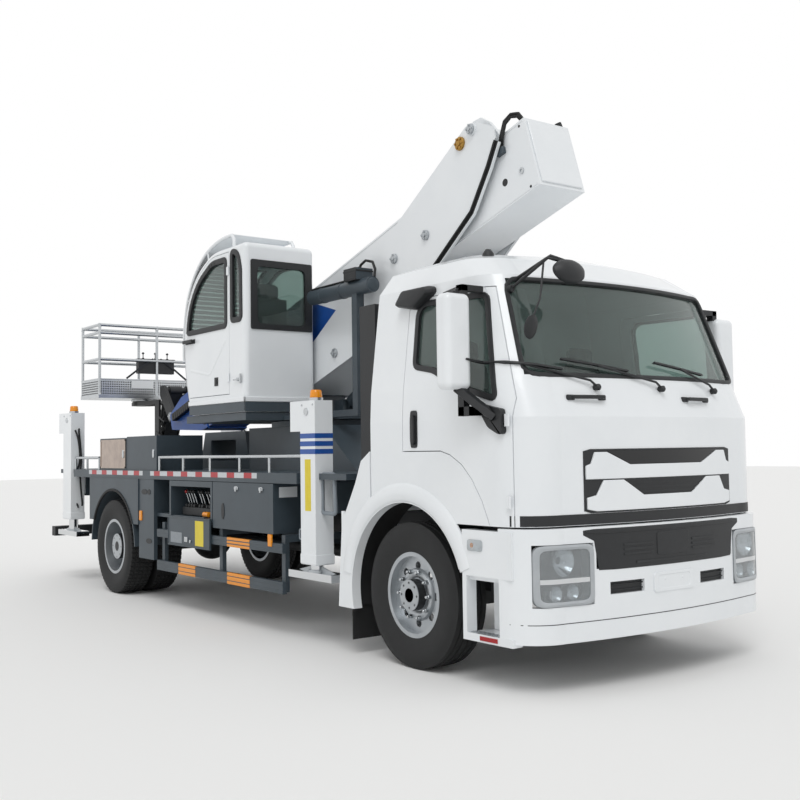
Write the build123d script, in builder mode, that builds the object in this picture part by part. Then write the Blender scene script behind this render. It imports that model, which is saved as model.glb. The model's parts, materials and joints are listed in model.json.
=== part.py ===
"""Cherry picker truck: a two-axle cab-over lorry with four jack legs and a
slewing, knuckled and telescoping boom that carries a work basket.

Units are millimetres. +X points to the front of the lorry, +Y to its left
and +Z up. The origin lies on the ground under the middle of the machine.
"""
from build123d import *
from math import cos, hypot, radians, sin
import os

os.makedirs("parts", exist_ok=True)

# ---------------------------------------------------------------- chassis
FRONT_AXLE_X = 3165.0
WHEELBASE = 5508.0
REAR_AXLE_X = FRONT_AXLE_X - WHEELBASE
RAIL_Y_IN, RAIL_Y_OUT = 350.0, 430.0
RAIL_Z_LOW, RAIL_Z_HIGH = 790.0, 1050.0
RAIL_X_REAR, RAIL_X_FRONT = -4240.0, 4200.0
BODY_HALF_WIDTH = 1220.0

# ----------------------------------------------------------------- wheels
TYRE_R, TYRE_W = 522.0, 295.0
BEAD_R, FLANGE_R = 288.0, 305.0
FRONT_TRACK_HALF = 1027.0
REAR_OUTER_HALF, REAR_INNER_HALF = 1087.0, 752.0
KINGPIN_Y = 800.0
KNUCKLE_R = 60.0
HUB_R = 110.0

# -------------------------------------------------------------------- cab
CAB_WALL = 45.0
CAB_FLOOR_Z, CAB_FLOOR_T = 1240.0, 40.0
ARCH_R = 700.0
SEAM = 6.0
# cab sections: height, rear x, half width, front x on the centre line,
# corner size, crown of the front
CAB_SECTIONS = (
    (1060.0, 2765.0, 1220.0, 4548.0, 300.0, 90.0),
    (1760.0, 2765.0, 1222.0, 4548.0, 300.0, 90.0),
    (1980.0, 2765.0, 1212.0, 4470.0, 300.0, 100.0),
    (2730.0, 2775.0, 1128.0, 4190.0, 250.0, 110.0),
    (2880.0, 2830.0, 1040.0, 4000.0, 250.0, 130.0),
    (2975.0, 3000.0, 760.0, 3700.0, 250.0, 130.0),
)
DOOR_HINGE_X = 4300.0
DOOR_HINGE_Y = 1226.0
DOOR_HINGES = ((1180, 1260), (1700, 1780))
DOOR_OUTLINE = ((3170, 1552), (3600, 1552), (3705, 1525), (3825, 1460), (3930, 1360),
                (4025, 1225), (4110, 1045), (4295, 1045), (4295, 1880), (4030, 2640),
                (3210, 2640), (3180, 2560))
DOOR_WINDOW = ((3285, 2150), (3510, 2110), (3740, 1995), (4165, 1880), (3992, 2590),
               (3340, 2600), (3280, 2540))
FRONT_WING = ((2315, 360), (2370, 1000), (2560, 1310), (2640, 1480), (2757, 1552), (2757, 700),
              (2600, 360))
SCREEN_OUTLINE = ((-1077, 2035), (1077, 2035), (1010, 2700), (-1010, 2700))
GRILLE_SLOTS = ((1150, 1235), (1290, 1375), (1430, 1530))
GRILLE_HALF = 720.0
# mirror heads and their two arms on each door
MIRROR_X_LOW, MIRROR_X_HIGH = 3900.0, 4040.0
MIRROR_Y_IN, MIRROR_Y_OUT = 1290.0, 1500.0
MIRROR_Z_LOW, MIRROR_Z_HIGH = 1945.0, 2575.0
MIRROR_CORNER = 45.0
MIRROR_ARM_Y, MIRROR_ARM_HALF = 1310.0, 20.0
MIRROR_ARM_X = 3965.0
LOWER_ARM_Z_LOW, LOWER_ARM_Z_HIGH = 1780.0, 1830.0
UPPER_ARM_Z_LOW, UPPER_ARM_Z_HIGH = 2604.0, 2635.0

# ----------------------------------------------------------------- bumper
BUMPER_Z_LOW, BUMPER_Z_HIGH = 330.0, 1050.0
BUMPER_FRONT_X, BUMPER_REAR_X = 4580.0, 4290.0
BUMPER_HALF = 1235.0
BUMPER_T = 50.0
LAMP_Z_LOW, LAMP_Z_HIGH = 560.0, 950.0
LAMP_Y_IN, LAMP_Y_OUT = 720.0, 1150.0

# ------------------------------------------------------------ deck, boxes
DECK_Z_LOW, DECK_Z_HIGH = 1330.0, 1380.0
DECK_X_REAR, DECK_X_FRONT = -4200.0, 2380.0

# --------------------------------------------------------------- outriggers
# name, leg rear x, leg front x, leg bottom z, leg top z, foot bottom z
LEG_PAIRS = (
    ("front", 1745.0, 1975.0, 640.0, 1975.0, 520.0),
    ("rear", -4025.0, -3745.0, 760.0, 2080.0, 560.0),
)
SIDES = (("right", -1.0), ("left", 1.0))
LEG_Y_IN, LEG_Y_OUT = 1050.0, 1220.0
BEAM_Z_LOW, BEAM_Z_HIGH = 1075.0, 1290.0
BEAM_INNER_Y = 60.0

# ------------------------------------------------------------------ turret
SLEW_X = 415.0
PEDESTAL_TOP_Z = 1800.0
RING_TOP_Z = 1850.0
TURRET_Z_LOW, TURRET_Z_HIGH = 1858.0, 1900.0
TURRET_R = 700.0
LUFF_X, LUFF_Z = 15.0, 2200.0
CYL_FOOT_X, CYL_FOOT_Z = 640.0, 1995.0
CYL_EYE_X, CYL_EYE_Z = 1500.0, 2440.0

# ----------------------------------------------------------- boom and jib
ELBOW_X, ELBOW_Z = 2920.0, 4120.0
BOOM_ANGLE = 16.8
BOOM_HEAD_X, BOOM_HEAD_Z = 3455.0, 4090.0
BOOM_HALF_W, BOOM_DEPTH = 240.0, 575.0
BOOM_LENGTH = 5900.0
FORK_IN, FORK_OUT = 285.0, 300.0
FORK_OUTLINE = ((-60, 2310), (543, 2670), (2833, 4163), (2982, 4165), (3168, 4085),
                (3193, 3985), (3090, 3790), (2885, 3475), (2275, 3017), (1700, 2614),
                (60, 2075), (-90, 2105))
LEVEL_X, LEVEL_Z = -3085.0, 2020.0
JIB_X, JIB_Z = -3385.0, 2360.0
JIB_END_X, JIB_END_Z = -3655.0, 1620.0
BASKET_REAR_X, BASKET_FRONT_X = -4585.0, -3935.0
BASKET_HALF_W = 800.0
BASKET_FLOOR_Z, BASKET_TOP_Z = 2285.0, 3250.0
BASKET_SLEW_X = -4385.0

# -------------------------------------------------------- operator's cabin
OPC_Y_OUT, OPC_Y_IN = -1100.0, -335.0
OPC_Z_LOW, OPC_Z_HIGH = 1935.0, 3530.0
OPC_FRONT_X = 565.0
OPC_WALL = 40.0
OPC_CORNER = 55.0
OPC_DOOR_INSET, OPC_DOOR_X, OPC_DOOR_Z = 60.0, 255.0, 2115.0
OPC_GLASS_INSET, OPC_GLASS_Z = 120.0, 2770.0
OPC_SLIM_WINDOW = ((315, 2805), (500, 2805), (495, 3290), (450, 3415), (385, 3460), (315, 3460))
OPC_BACK_WINDOW = ((-1000, 2745), (-400, 2745), (-400, 3330), (-1000, 3330))


def save(part, name):
    """Name a finished piece and write it as a STEP file."""
    part.label = name
    export_step(part, "parts/" + name + ".step")


def block(x0, x1, y0, y1, z0, z1, mode=Mode.ADD):
    """Add a box to the part in hand, given by its lowest and highest corner."""
    with Locations(((x0 + x1) / 2, (y0 + y1) / 2, (z0 + z1) / 2)):
        Box(x1 - x0, y1 - y0, z1 - z0, mode=mode)


def bar(axis, centre, radius, start, end, mode=Mode.ADD):
    """Add a round bar along X, Y or Z; centre holds its two other coordinates."""
    middle = (start + end) / 2
    places = {"X": ((middle, centre[0], centre[1]), (0, 90, 0)),
              "Y": ((centre[0], middle, centre[1]), (90, 0, 0)),
              "Z": ((centre[0], centre[1], middle), (0, 0, 0))}
    place, turn = places[axis]
    with Locations(Location(place, turn)):
        Cylinder(radius, end - start, mode=mode)


def side_prism(points, y0, y1, mode=Mode.ADD):
    """Extrude an outline given in the XZ plane from y0 to y1."""
    with BuildSketch(Plane.XZ.offset(-y0)) as outline:
        Polygon(*points, align=None)
    extrude(outline.sketch, amount=-(y1 - y0), mode=mode)


def front_prism(points, x0, x1, mode=Mode.ADD):
    """Extrude an outline given in the YZ plane from x0 to x1."""
    with BuildSketch(Plane.YZ.offset(x0)) as outline:
        Polygon(*points, align=None)
    extrude(outline.sketch, amount=x1 - x0, mode=mode)


def grown(points, by):
    """Push each side of an outline outward by a distance and let the sides meet again."""
    count = len(points)
    area = sum(points[i - 1][0] * points[i][1] - points[i][0] * points[i - 1][1] for i in range(count))
    turn = 1 if area > 0 else -1
    moved = []
    for i, (a, b) in enumerate(points):
        before, after = points[i - 1], points[(i + 1) % count]
        length_in = hypot(a - before[0], b - before[1])
        length_out = hypot(after[0] - a, after[1] - b)
        in_a, in_b = turn * (b - before[1]) / length_in, -turn * (a - before[0]) / length_in
        out_a, out_b = turn * (after[1] - b) / length_out, -turn * (after[0] - a) / length_out
        share = by / (1 + in_a * out_a + in_b * out_b)
        moved.append((a + (in_a + out_a) * share, b + (in_b + out_b) * share))
    return moved


def cab_outline(rear, half, front, corner, crown):
    """Draw one closed horizontal section of a cab or bumper in the sketch in hand."""
    shoulder = front - crown
    with BuildLine() as edge:
        Line((shoulder - corner, -half), (rear, -half))
        Line((rear, -half), (rear, half))
        Line((rear, half), (shoulder - corner, half))
        turn = corner * (1 - cos(radians(45)))
        ThreePointArc((shoulder - corner, half), (shoulder - turn, half - turn),
                      (shoulder, half - corner))
        ThreePointArc((shoulder, half - corner), (front, 0), (shoulder, corner - half))
        ThreePointArc((shoulder, corner - half), (shoulder - turn, turn - half),
                      (shoulder - corner, -half))
    make_face(edge.edges())


def cab_body(inset, lowest, highest):
    """Loft the cab's outer form, drawn in by inset, between two heights."""
    for low, high in zip(CAB_SECTIONS[:-1], CAB_SECTIONS[1:]):
        if high[0] <= lowest or low[0] >= highest:
            continue
        z0 = max(low[0], lowest)
        z1 = min(high[0], highest)
        ends = []
        for z in (z0, z1):
            share = (z - low[0]) / (high[0] - low[0])
            row = [a + share * (b - a) for a, b in zip(low, high)]
            with BuildSketch(Plane.XY.offset(z)) as section:
                cab_outline(row[1] + inset, row[2] - inset, row[3] - inset, row[4], row[5])
            ends.append(section.sketch)
        loft(ends, ruled=True)


# ================================================================= chassis
with BuildPart() as chassis_frame:
    for side in (-1, 1):
        y_low, y_high = sorted((side * RAIL_Y_IN, side * RAIL_Y_OUT))
        block(RAIL_X_REAR, RAIL_X_FRONT, y_low, y_high, RAIL_Z_LOW, RAIL_Z_HIGH)
    for x in (-4140, -3100, -1200, 300, 1700, 4100):
        block(x, x + 80, -RAIL_Y_IN, RAIL_Y_IN, RAIL_Z_LOW + 30, RAIL_Z_HIGH - 30)
    block(-4560, -4440, -1180, 1180, 520, 640)
    for side in (-1, 1):
        block(-4440, -4200, side * 390 - 40, side * 390 + 40, 520, RAIL_Z_HIGH)
    for side in (-1, 1):
        block(RAIL_X_FRONT, 4440, side * 390 - 40, side * 390 + 40, 700, RAIL_Z_HIGH - 80)
        bar("X", (side * 390, 900), 21, 4280, 4440, Mode.SUBTRACT)
save(chassis_frame.part, "chassis_frame")

with BuildPart() as axles:
    block(FRONT_AXLE_X - 55, FRONT_AXLE_X + 55, -700, 700, 400, 500)
    for side in (-1, 1):
        block(FRONT_AXLE_X - 55, FRONT_AXLE_X + 55, side * 715 - 75, side * 715 + 75, 470, 574)
        bar("Z", (FRONT_AXLE_X, side * KINGPIN_Y), KNUCKLE_R, 470, 574)
        block(FRONT_AXLE_X - 800, FRONT_AXLE_X + 800, side * 460 - 40, side * 460 + 40, 600, 680)
        block(FRONT_AXLE_X - 110, FRONT_AXLE_X + 110, side * 460 - 40, side * 460 + 40, 500, 600)
        for x in (FRONT_AXLE_X - 780, FRONT_AXLE_X + 780):
            block(x - 40, x + 40, side * 460 - 30, side * 460 + 30, 680, 800)
    bar("Y", (REAR_AXLE_X, TYRE_R), 85, -590, 590)
    with Locations((REAR_AXLE_X, 0, TYRE_R)):
        Sphere(230)
    bar("X", (0, TYRE_R + 60), 60, REAR_AXLE_X, 900)
    for side in (-1, 1):
        block(REAR_AXLE_X - 800, REAR_AXLE_X + 800, side * 490 - 45, side * 490 + 45, 620, 720)
        block(REAR_AXLE_X - 110, REAR_AXLE_X + 110, side * 490 - 45, side * 490 + 45, 560, 620)
        for x in (REAR_AXLE_X - 770, REAR_AXLE_X + 770):
            block(x - 40, x + 40, side * 470 - 40, side * 470 + 40, 720, 860)
save(axles.part, "axles")

with BuildPart() as engine:
    block(2500, 3900, -340, 340, 640, 1190)
save(engine.part, "engine")


# ================================================================== wheels
def tyre(y_middle):
    """Add one tyre, a ring turned about the wheel's own axle line through X = 0."""
    half = TYRE_W / 2
    with BuildSketch(Plane.XY) as section:
        with BuildLine():
            Polyline((FLANGE_R + 1, y_middle - half + 26), (FLANGE_R + 1, y_middle - half + 40),
                     (BEAD_R + 1, y_middle - half + 40), (BEAD_R + 1, y_middle + half - 40),
                     (FLANGE_R + 1, y_middle + half - 40), (FLANGE_R + 1, y_middle + half - 26))
            ThreePointArc((FLANGE_R + 1, y_middle + half - 26), (410, y_middle + half),
                          (TYRE_R - 14, y_middle + half - 18))
            Polyline((TYRE_R - 14, y_middle + half - 18), (TYRE_R, y_middle + half - 34),
                     (TYRE_R, y_middle - half + 34), (TYRE_R - 14, y_middle - half + 18))
            ThreePointArc((TYRE_R - 14, y_middle - half + 18), (410, y_middle - half),
                          (FLANGE_R + 1, y_middle - half + 26))
        make_face()
    revolve(section.sketch, axis=Axis.Y)


def rim(y_middle, side, dish):
    """Add one steel rim: barrel, two flanges, and a disc set dish out from its middle."""
    half = TYRE_W / 2 - 26
    bar("Y", (0, 0), FLANGE_R, y_middle - half, y_middle - half + 12)
    bar("Y", (0, 0), FLANGE_R, y_middle + half - 12, y_middle + half)
    bar("Y", (0, 0), BEAD_R, y_middle - half, y_middle + half)
    bar("Y", (0, 0), BEAD_R - 14, y_middle - half, y_middle + half, Mode.SUBTRACT)
    disc = y_middle + side * dish
    bar("Y", (0, 0), BEAD_R - 8, disc - 9, disc + 9)
    with Locations(Location((0, disc, 0), (90, 0, 0))):
        with PolarLocations(205, 8):
            Cylinder(30, 40, mode=Mode.SUBTRACT)


def turned_to_axle(x):
    """The place of an axle line that wheel pieces are moved to."""
    return Location((x, 0, TYRE_R))


for side_name, side in SIDES:
    with BuildPart() as front_tyre:
        tyre(side * FRONT_TRACK_HALF)
    save(front_tyre.part.moved(turned_to_axle(FRONT_AXLE_X)), "front_tyre_" + side_name)

    with BuildPart() as front_rim:
        rim(side * FRONT_TRACK_HALF, side, 60)
        face = side * (FRONT_TRACK_HALF + 60)
        y_low, y_high = sorted((face - side * 120, face + side * 95))
        bar("Y", (0, 0), HUB_R, y_low, y_high)
        y_low, y_high = sorted((face - side * 130, face - side * 40))
        bar("Y", (0, 0), 45.05, y_low, y_high, Mode.SUBTRACT)
    save(front_rim.part.moved(turned_to_axle(FRONT_AXLE_X)), "front_rim_" + side_name)

    with BuildPart() as knuckle:
        kingpin = side * KINGPIN_Y
        bar("Z", (FRONT_AXLE_X, kingpin), KNUCKLE_R, 400, 464)
        bar("Z", (FRONT_AXLE_X, kingpin), KNUCKLE_R, 580, 650)
        y_low, y_high = sorted((kingpin + side * 64, kingpin + side * 74))
        block(FRONT_AXLE_X - 55, FRONT_AXLE_X + 55, y_low, y_high, 400, 650)
        y_low, y_high = sorted((kingpin, kingpin + side * 70))
        block(FRONT_AXLE_X - 40, FRONT_AXLE_X + 40, y_low, y_high, 400, 464)
        block(FRONT_AXLE_X - 40, FRONT_AXLE_X + 40, y_low, y_high, 580, 650)
        y_low, y_high = sorted((kingpin + side * 70, face - side * 45))
        bar("Y", (FRONT_AXLE_X, TYRE_R), 45, y_low, y_high)
    save(knuckle.part, "knuckle_" + side_name)

    with BuildPart() as rear_tyres:
        tyre(side * REAR_OUTER_HALF)
        tyre(side * REAR_INNER_HALF)
    save(rear_tyres.part.moved(turned_to_axle(REAR_AXLE_X)), "rear_tyres_" + side_name)

    with BuildPart() as rear_rims:
        rim(side * REAR_OUTER_HALF, side, -100)
        rim(side * REAR_INNER_HALF, side, 100)
        y_low, y_high = sorted((side * 596, side * 1180))
        bar("Y", (0, 0), 140, y_low, y_high)
    save(rear_rims.part.moved(turned_to_axle(REAR_AXLE_X)), "rear_rims_" + side_name)

# ===================================================================== cab
with BuildPart() as cab_form:
    cab_body(0, 1060, 2975)
with BuildPart() as cab_room:
    cab_body(CAB_WALL, 1060, CAB_FLOOR_Z)
    cab_body(CAB_WALL, CAB_FLOOR_Z + CAB_FLOOR_T, 2975 - CAB_WALL)
with BuildPart() as door_room:
    cab_body(CAB_WALL, 1060, 2975 - CAB_WALL)

with BuildPart() as cab_shell:
    add(cab_form.part)
    add(cab_room.part, mode=Mode.SUBTRACT)
    bar("Y", (FRONT_AXLE_X, TYRE_R), ARCH_R, -1400, 1400, Mode.SUBTRACT)
    front_prism(SCREEN_OUTLINE, 3900, 4700, Mode.SUBTRACT)
    for z_low, z_high in GRILLE_SLOTS:
        block(4300, 4700, -GRILLE_HALF, GRILLE_HALF, z_low, z_high, Mode.SUBTRACT)
    for side in (-1, 1):
        y_low, y_high = sorted((side * 1000, side * 1300))
        side_prism(grown(DOOR_OUTLINE, SEAM), y_low, y_high, Mode.SUBTRACT)
    block(4385, 4455, -GRILLE_HALF - 5, GRILLE_HALF + 5, 1110, 1560, Mode.SUBTRACT)
    block(2700, 2900, -360, 360, 1050, 1215, Mode.SUBTRACT)
save(cab_shell.part, "cab_shell")

with BuildPart() as glass_form:
    cab_body(14, 1900, 2800)
with BuildPart() as glass_room:
    cab_body(22, 1890, 2810)
with BuildPart() as cab_glass:
    add(glass_form.part)
    add(glass_room.part, mode=Mode.SUBTRACT)
    front_prism(SCREEN_OUTLINE, 3950, 4700, Mode.INTERSECT)
save(cab_glass.part, "cab_glass")

for side_name, side in SIDES:
    y_low, y_high = sorted((side * 1000, side * 1300))
    with BuildPart() as mirror_head:
        y_low_m, y_high_m = sorted((side * MIRROR_Y_IN, side * MIRROR_Y_OUT))
        block(MIRROR_X_LOW, MIRROR_X_HIGH, y_low_m, y_high_m, MIRROR_Z_LOW, MIRROR_Z_HIGH)
        fillet(mirror_head.edges(), MIRROR_CORNER)
    with BuildPart() as cab_door:
        add(cab_form.part)
        add(door_room.part, mode=Mode.SUBTRACT)
        side_prism(DOOR_OUTLINE, y_low, y_high, Mode.INTERSECT)
        side_prism(DOOR_WINDOW, y_low, y_high, Mode.SUBTRACT)
        bar("Y", (FRONT_AXLE_X, TYRE_R), ARCH_R, -1400, 1400, Mode.SUBTRACT)
        add(mirror_head.part)
        y_low_m, y_high_m = sorted((side * 1120, side * (MIRROR_ARM_Y + MIRROR_ARM_HALF)))
        x_low_m, x_high_m = MIRROR_ARM_X - 25, MIRROR_ARM_X + 25
        block(x_low_m, x_high_m, y_low_m, y_high_m, UPPER_ARM_Z_LOW, UPPER_ARM_Z_HIGH)
        y_low_m, y_high_m = sorted((side * 1190, side * (MIRROR_ARM_Y - 10)))
        block(4050, 4100, y_low_m, y_high_m, LOWER_ARM_Z_LOW, LOWER_ARM_Z_HIGH)
        arm_y = side * MIRROR_ARM_Y
        y_low_m, y_high_m = arm_y - MIRROR_ARM_HALF, arm_y + MIRROR_ARM_HALF
        block(x_low_m, x_high_m, y_low_m, y_high_m, MIRROR_Z_HIGH - 70, UPPER_ARM_Z_HIGH)
        block(x_low_m, 4100, y_low_m, y_high_m, LOWER_ARM_Z_LOW, LOWER_ARM_Z_HIGH)
        block(x_low_m, x_high_m, y_low_m, y_high_m, LOWER_ARM_Z_LOW, MIRROR_Z_LOW + 70)
        for z_low, z_high in DOOR_HINGES:
            y_low_m, y_high_m = sorted((side * 1206, side * DOOR_HINGE_Y))
            block(4262, DOOR_HINGE_X - 7, y_low_m, y_high_m, z_low, z_high)
            bar("Z", (DOOR_HINGE_X, side * DOOR_HINGE_Y), 7, z_low, z_high)
    save(cab_door.part, "cab_door_" + side_name)

    with BuildPart() as door_glass:
        add(glass_form.part)
        add(glass_room.part, mode=Mode.SUBTRACT)
        side_prism(DOOR_WINDOW, y_low, y_high, Mode.INTERSECT)
    save(door_glass.part, "cab_door_glass_" + side_name)

with BuildPart() as cab_fittings:
    for y in (-620, 620):
        block(3200, 3700, y - 250, y + 250, 1282, 1480)
        block(3200, 3650, y - 240, y + 240, 1480, 1620)
        block(3080, 3220, y - 240, y + 240, 1500, 2250)
    block(4080, 4290, -1000, 1000, 1500, 1860)
    block(4080, 4200, -1000, 1000, 1282, 1500)
    with Locations(Location((3920, 620, 1900), (0, -60, 0))):
        Cylinder(220, 30)
        Cylinder(190, 30, mode=Mode.SUBTRACT)
        Box(400, 40, 20)
        with Locations((0, 0, -110)):
            Cylinder(30, 220)
save(cab_fittings.part, "cab_fittings")

# ================================================================== bumper
with BuildPart() as bumper_ring:
    with BuildSketch(Plane.XY.offset(BUMPER_Z_LOW)):
        cab_outline(BUMPER_REAR_X - 100, BUMPER_HALF, BUMPER_FRONT_X, 290, 90)
    extrude(amount=BUMPER_Z_HIGH - BUMPER_Z_LOW)
    with BuildSketch(Plane.XY.offset(BUMPER_Z_LOW)):
        cab_outline(BUMPER_REAR_X - 200, BUMPER_HALF - BUMPER_T, BUMPER_FRONT_X - BUMPER_T, 250, 90)
    extrude(amount=BUMPER_Z_HIGH - BUMPER_Z_LOW, mode=Mode.SUBTRACT)

with BuildPart() as front_bumper:
    add(bumper_ring.part)
    for side in (-1, 1):
        y_low, y_high = sorted((side * LAMP_Y_IN, side * LAMP_Y_OUT))
        block(4300, 4700, y_low, y_high, LAMP_Z_LOW, LAMP_Z_HIGH, Mode.SUBTRACT)
        y_low, y_high = sorted((side * 1150, side * BUMPER_HALF))
        block(3830, BUMPER_REAR_X + 20, y_low, y_high, 310, 360)
        block(3830, 3870, y_low, y_high, 310, 1030)
        block(3830, BUMPER_REAR_X + 20, y_low, y_high, 730, 1030)
        y_low, y_high = sorted((side * 900, side * 1200))
        block(3830, 4220, y_low, y_high, 310, 350)
        block(3830, 4220, y_low, y_high, 700, 735)
    block(4400, 4700, -700, 700, 780, 1000, Mode.SUBTRACT)
    for side in (-1, 1):
        block(4400, 4700, side * 440 - 150, side * 440 + 150, 610, 690, Mode.SUBTRACT)
    block(4440, 4530, -700, 700, 700, 778)
save(front_bumper.part, "front_bumper")

with BuildPart() as headlamps:
    add(bumper_ring.part)
    block(4300, 4700, LAMP_Y_IN, LAMP_Y_OUT, LAMP_Z_LOW, LAMP_Z_HIGH, Mode.INTERSECT)
    mirror(about=Plane.XZ)
save(headlamps.part, "headlamps")

with BuildPart() as air_intakes:
    block(2430, 2640, -1080, -860, 1345, 2690)
    block(4395, 4415, -GRILLE_HALF, GRILLE_HALF, 1120, 1550)
    for z in range(1160, 1540, 40):
        block(4415, 4450, -GRILLE_HALF, GRILLE_HALF, z, z + 14)
save(air_intakes.part, "air_intakes")

# ============================================================ deck, boxes
with BuildPart() as deck:
    block(DECK_X_REAR, DECK_X_FRONT, -BODY_HALF_WIDTH + 30, BODY_HALF_WIDTH - 30, DECK_Z_LOW, DECK_Z_HIGH)
    block(-3640, 1680, -BODY_HALF_WIDTH, -BODY_HALF_WIDTH + 30, 1290, DECK_Z_HIGH)
    block(-3640, 1680, BODY_HALF_WIDTH - 30, BODY_HALF_WIDTH, 1290, DECK_Z_HIGH)
    for side in (-1, 1):
        block(-3640, 1680, side * 420 - 40, side * 420 + 40, 1052, DECK_Z_LOW)
    for x in (-3600, -3050, -1400, 500, 1560):
        block(x, x + 80, -1150, 1150, 1290, DECK_Z_LOW)
    for pair, x_rear, x_front, leg_low, leg_high, foot_low in LEG_PAIRS:
        for side in (-1, 1):
            y_low, y_high = sorted((side * (LEG_Y_IN - 8), side * 1300))
            block(x_rear - 8, x_front + 8, y_low, y_high, 1200, 1400, Mode.SUBTRACT)
save(deck.part, "deck")

with BuildPart() as side_boxes:
    for side in (-1, 1):
        y_low, y_high = sorted((side * 640, side * BODY_HALF_WIDTH))
        block(140, 1285, y_low, y_high, 855, 1285)
        block(-835, 125, y_low, y_high, 905, 1285)
        y_low, y_high = sorted((side * 760, side * 1240))
        block(-800, 90, y_low, y_high, 935, 1230, Mode.SUBTRACT)
        y_low, y_high = sorted((side * 1180, side * BODY_HALF_WIDTH))
        block(-1615, -1225, y_low, y_high, 450, 1288)
        y_low, y_high = sorted((side * 640, side * 1180))
        block(-1265, -1225, y_low, y_high, 905, 1288)
        block(-1225, -835, y_low, y_high, 905, 940)
    for x in range(-760, 60, 110):
        for side in (-1, 1):
            y_low, y_high = sorted((side * 755, side * 1000))
            bar("Y", (x, 1020), 14, y_low, y_high)
save(side_boxes.part, "side_boxes")

with BuildPart() as side_guards:
    for side in (-1, 1):
        y_low, y_high = sorted((side * 1180, side * BODY_HALF_WIDTH))
        block(-1145, 1440, y_low, y_high, 360, 460)
        block(-1145, 1440, y_low, y_high, 700, 780)
        y_low, y_high = sorted((side * 1140, side * 1180))
        for x in (-1100, 200, 1360):
            block(x, x + 60, y_low, y_high, 370, 850)
        y_low, y_high = sorted((side * 430, side * 1180))
        for x in (-1100, 200, 1360):
            block(x, x + 60, y_low, y_high, 790, 850)
save(side_guards.part, "side_guards")

with BuildPart() as wheel_arches:
    for side in (-1, 1):
        y_low, y_high = sorted((side * 600, side * 1235))
        bar("Y", (REAR_AXLE_X, TYRE_R), 650, y_low, y_high)
        bar("Y", (REAR_AXLE_X, TYRE_R), 632, y_low, y_high, Mode.SUBTRACT)
    block(-4000, 0, -1300, 1300, -200, 560, Mode.SUBTRACT)
    for side in (-1, 1):
        y_low, y_high = sorted((side * 430, side * 620))
        for angle in (50, 130):
            x = REAR_AXLE_X + 641 * cos(radians(angle))
            z = TYRE_R + 641 * sin(radians(angle))
            block(x - 15, x + 15, y_low, y_high, z - 15, z + 15)
        y_low, y_high = sorted((side * 1195, side * 1232))
        with BuildPart(mode=Mode.PRIVATE) as wing:
            block(REAR_AXLE_X - 720, REAR_AXLE_X + 725, y_low, y_high, 800, 1290)
            bar("Y", (REAR_AXLE_X, TYRE_R), 640, y_low - 5, y_high + 5, Mode.SUBTRACT)
        add(wing.part)
save(wheel_arches.part, "wheel_arches")

with BuildPart() as front_wings:
    for side in (-1, 1):
        y_low, y_high = sorted((side * 860, side * 1185))
        block(2300, 2345, y_low, y_high, 360, 1090)
        y_low, y_high = sorted((side * 1150, side * 1228))
        side_prism(FRONT_WING, y_low, y_high)
        bar("Y", (FRONT_AXLE_X, TYRE_R), 694, y_low, y_high)
        y_low, y_high = sorted((side * 430, side * 900))
        block(2300, 2345, y_low, y_high, 900, 960)
        y_low, y_high = sorted((side * 1100, side * 1300))
        bar("Y", (FRONT_AXLE_X, TYRE_R), 662, y_low, y_high, Mode.SUBTRACT)
        block(2757, 4200, y_low, y_high, -300, 760, Mode.SUBTRACT)
        block(2345, 2757, y_low, y_high, -300, 360, Mode.SUBTRACT)
save(front_wings.part, "front_wings")

with BuildPart() as deck_lockers:
    for side in (-1, 1):
        y_low, y_high = sorted((side * 660, side * 1190))
        block(-2835, -2040, y_low, y_high, DECK_Z_HIGH, 1740)
        block(-2030, -1225, y_low, y_high, DECK_Z_HIGH, 1750)
save(deck_lockers.part, "deck_lockers")

with BuildPart() as boom_rest:
    side_prism(((-2035, DECK_Z_HIGH), (-835, DECK_Z_HIGH), (-935, 1790), (-1900, 1790)), -300, 300)
    block(-1750, -1150, -400, 400, DECK_Z_HIGH + 90, 1700, Mode.SUBTRACT)
save(boom_rest.part, "boom_rest")

with BuildPart() as pedestal:
    side_prism(((-285, DECK_Z_HIGH), (1665, DECK_Z_HIGH), (1115, PEDESTAL_TOP_Z),
                (-285, PEDESTAL_TOP_Z)), -600, 600)
    bar("Z", (SLEW_X, 0), 640, PEDESTAL_TOP_Z, RING_TOP_Z)
    bar("Z", (SLEW_X, 0), 556, PEDESTAL_TOP_Z, RING_TOP_Z, Mode.SUBTRACT)
save(pedestal.part, "pedestal")

with BuildPart() as handrails:
    for side in (-1, 1):
        y = side * (BODY_HALF_WIDTH - 45)
        for x_low, x_high, places in ((-1180, 1700, (-1180, -600, 0, 600, 1150, 1700)),
                                      (-3700, -2900, (-3700, -3300, -2900))):
            bar("X", (y, 1520), 16, x_low, x_high)
            for x in places:
                bar("Z", (x, y), 14, DECK_Z_HIGH, 1520)
save(handrails.part, "handrails")

with BuildPart() as tail_lamps:
    for side in (-1, 1):
        block(-4620 + 35, -4560, side * 1000 - 170, side * 1000 + 170, 530, 630)
save(tail_lamps.part, "tail_lamps")

with BuildPart() as lid:
    block(-825, 115, -1240, -1225, 640, 932)
    bar("X", (-1232.5, 936), 6, -700, -10)
save(lid.part, "control_lid")

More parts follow.
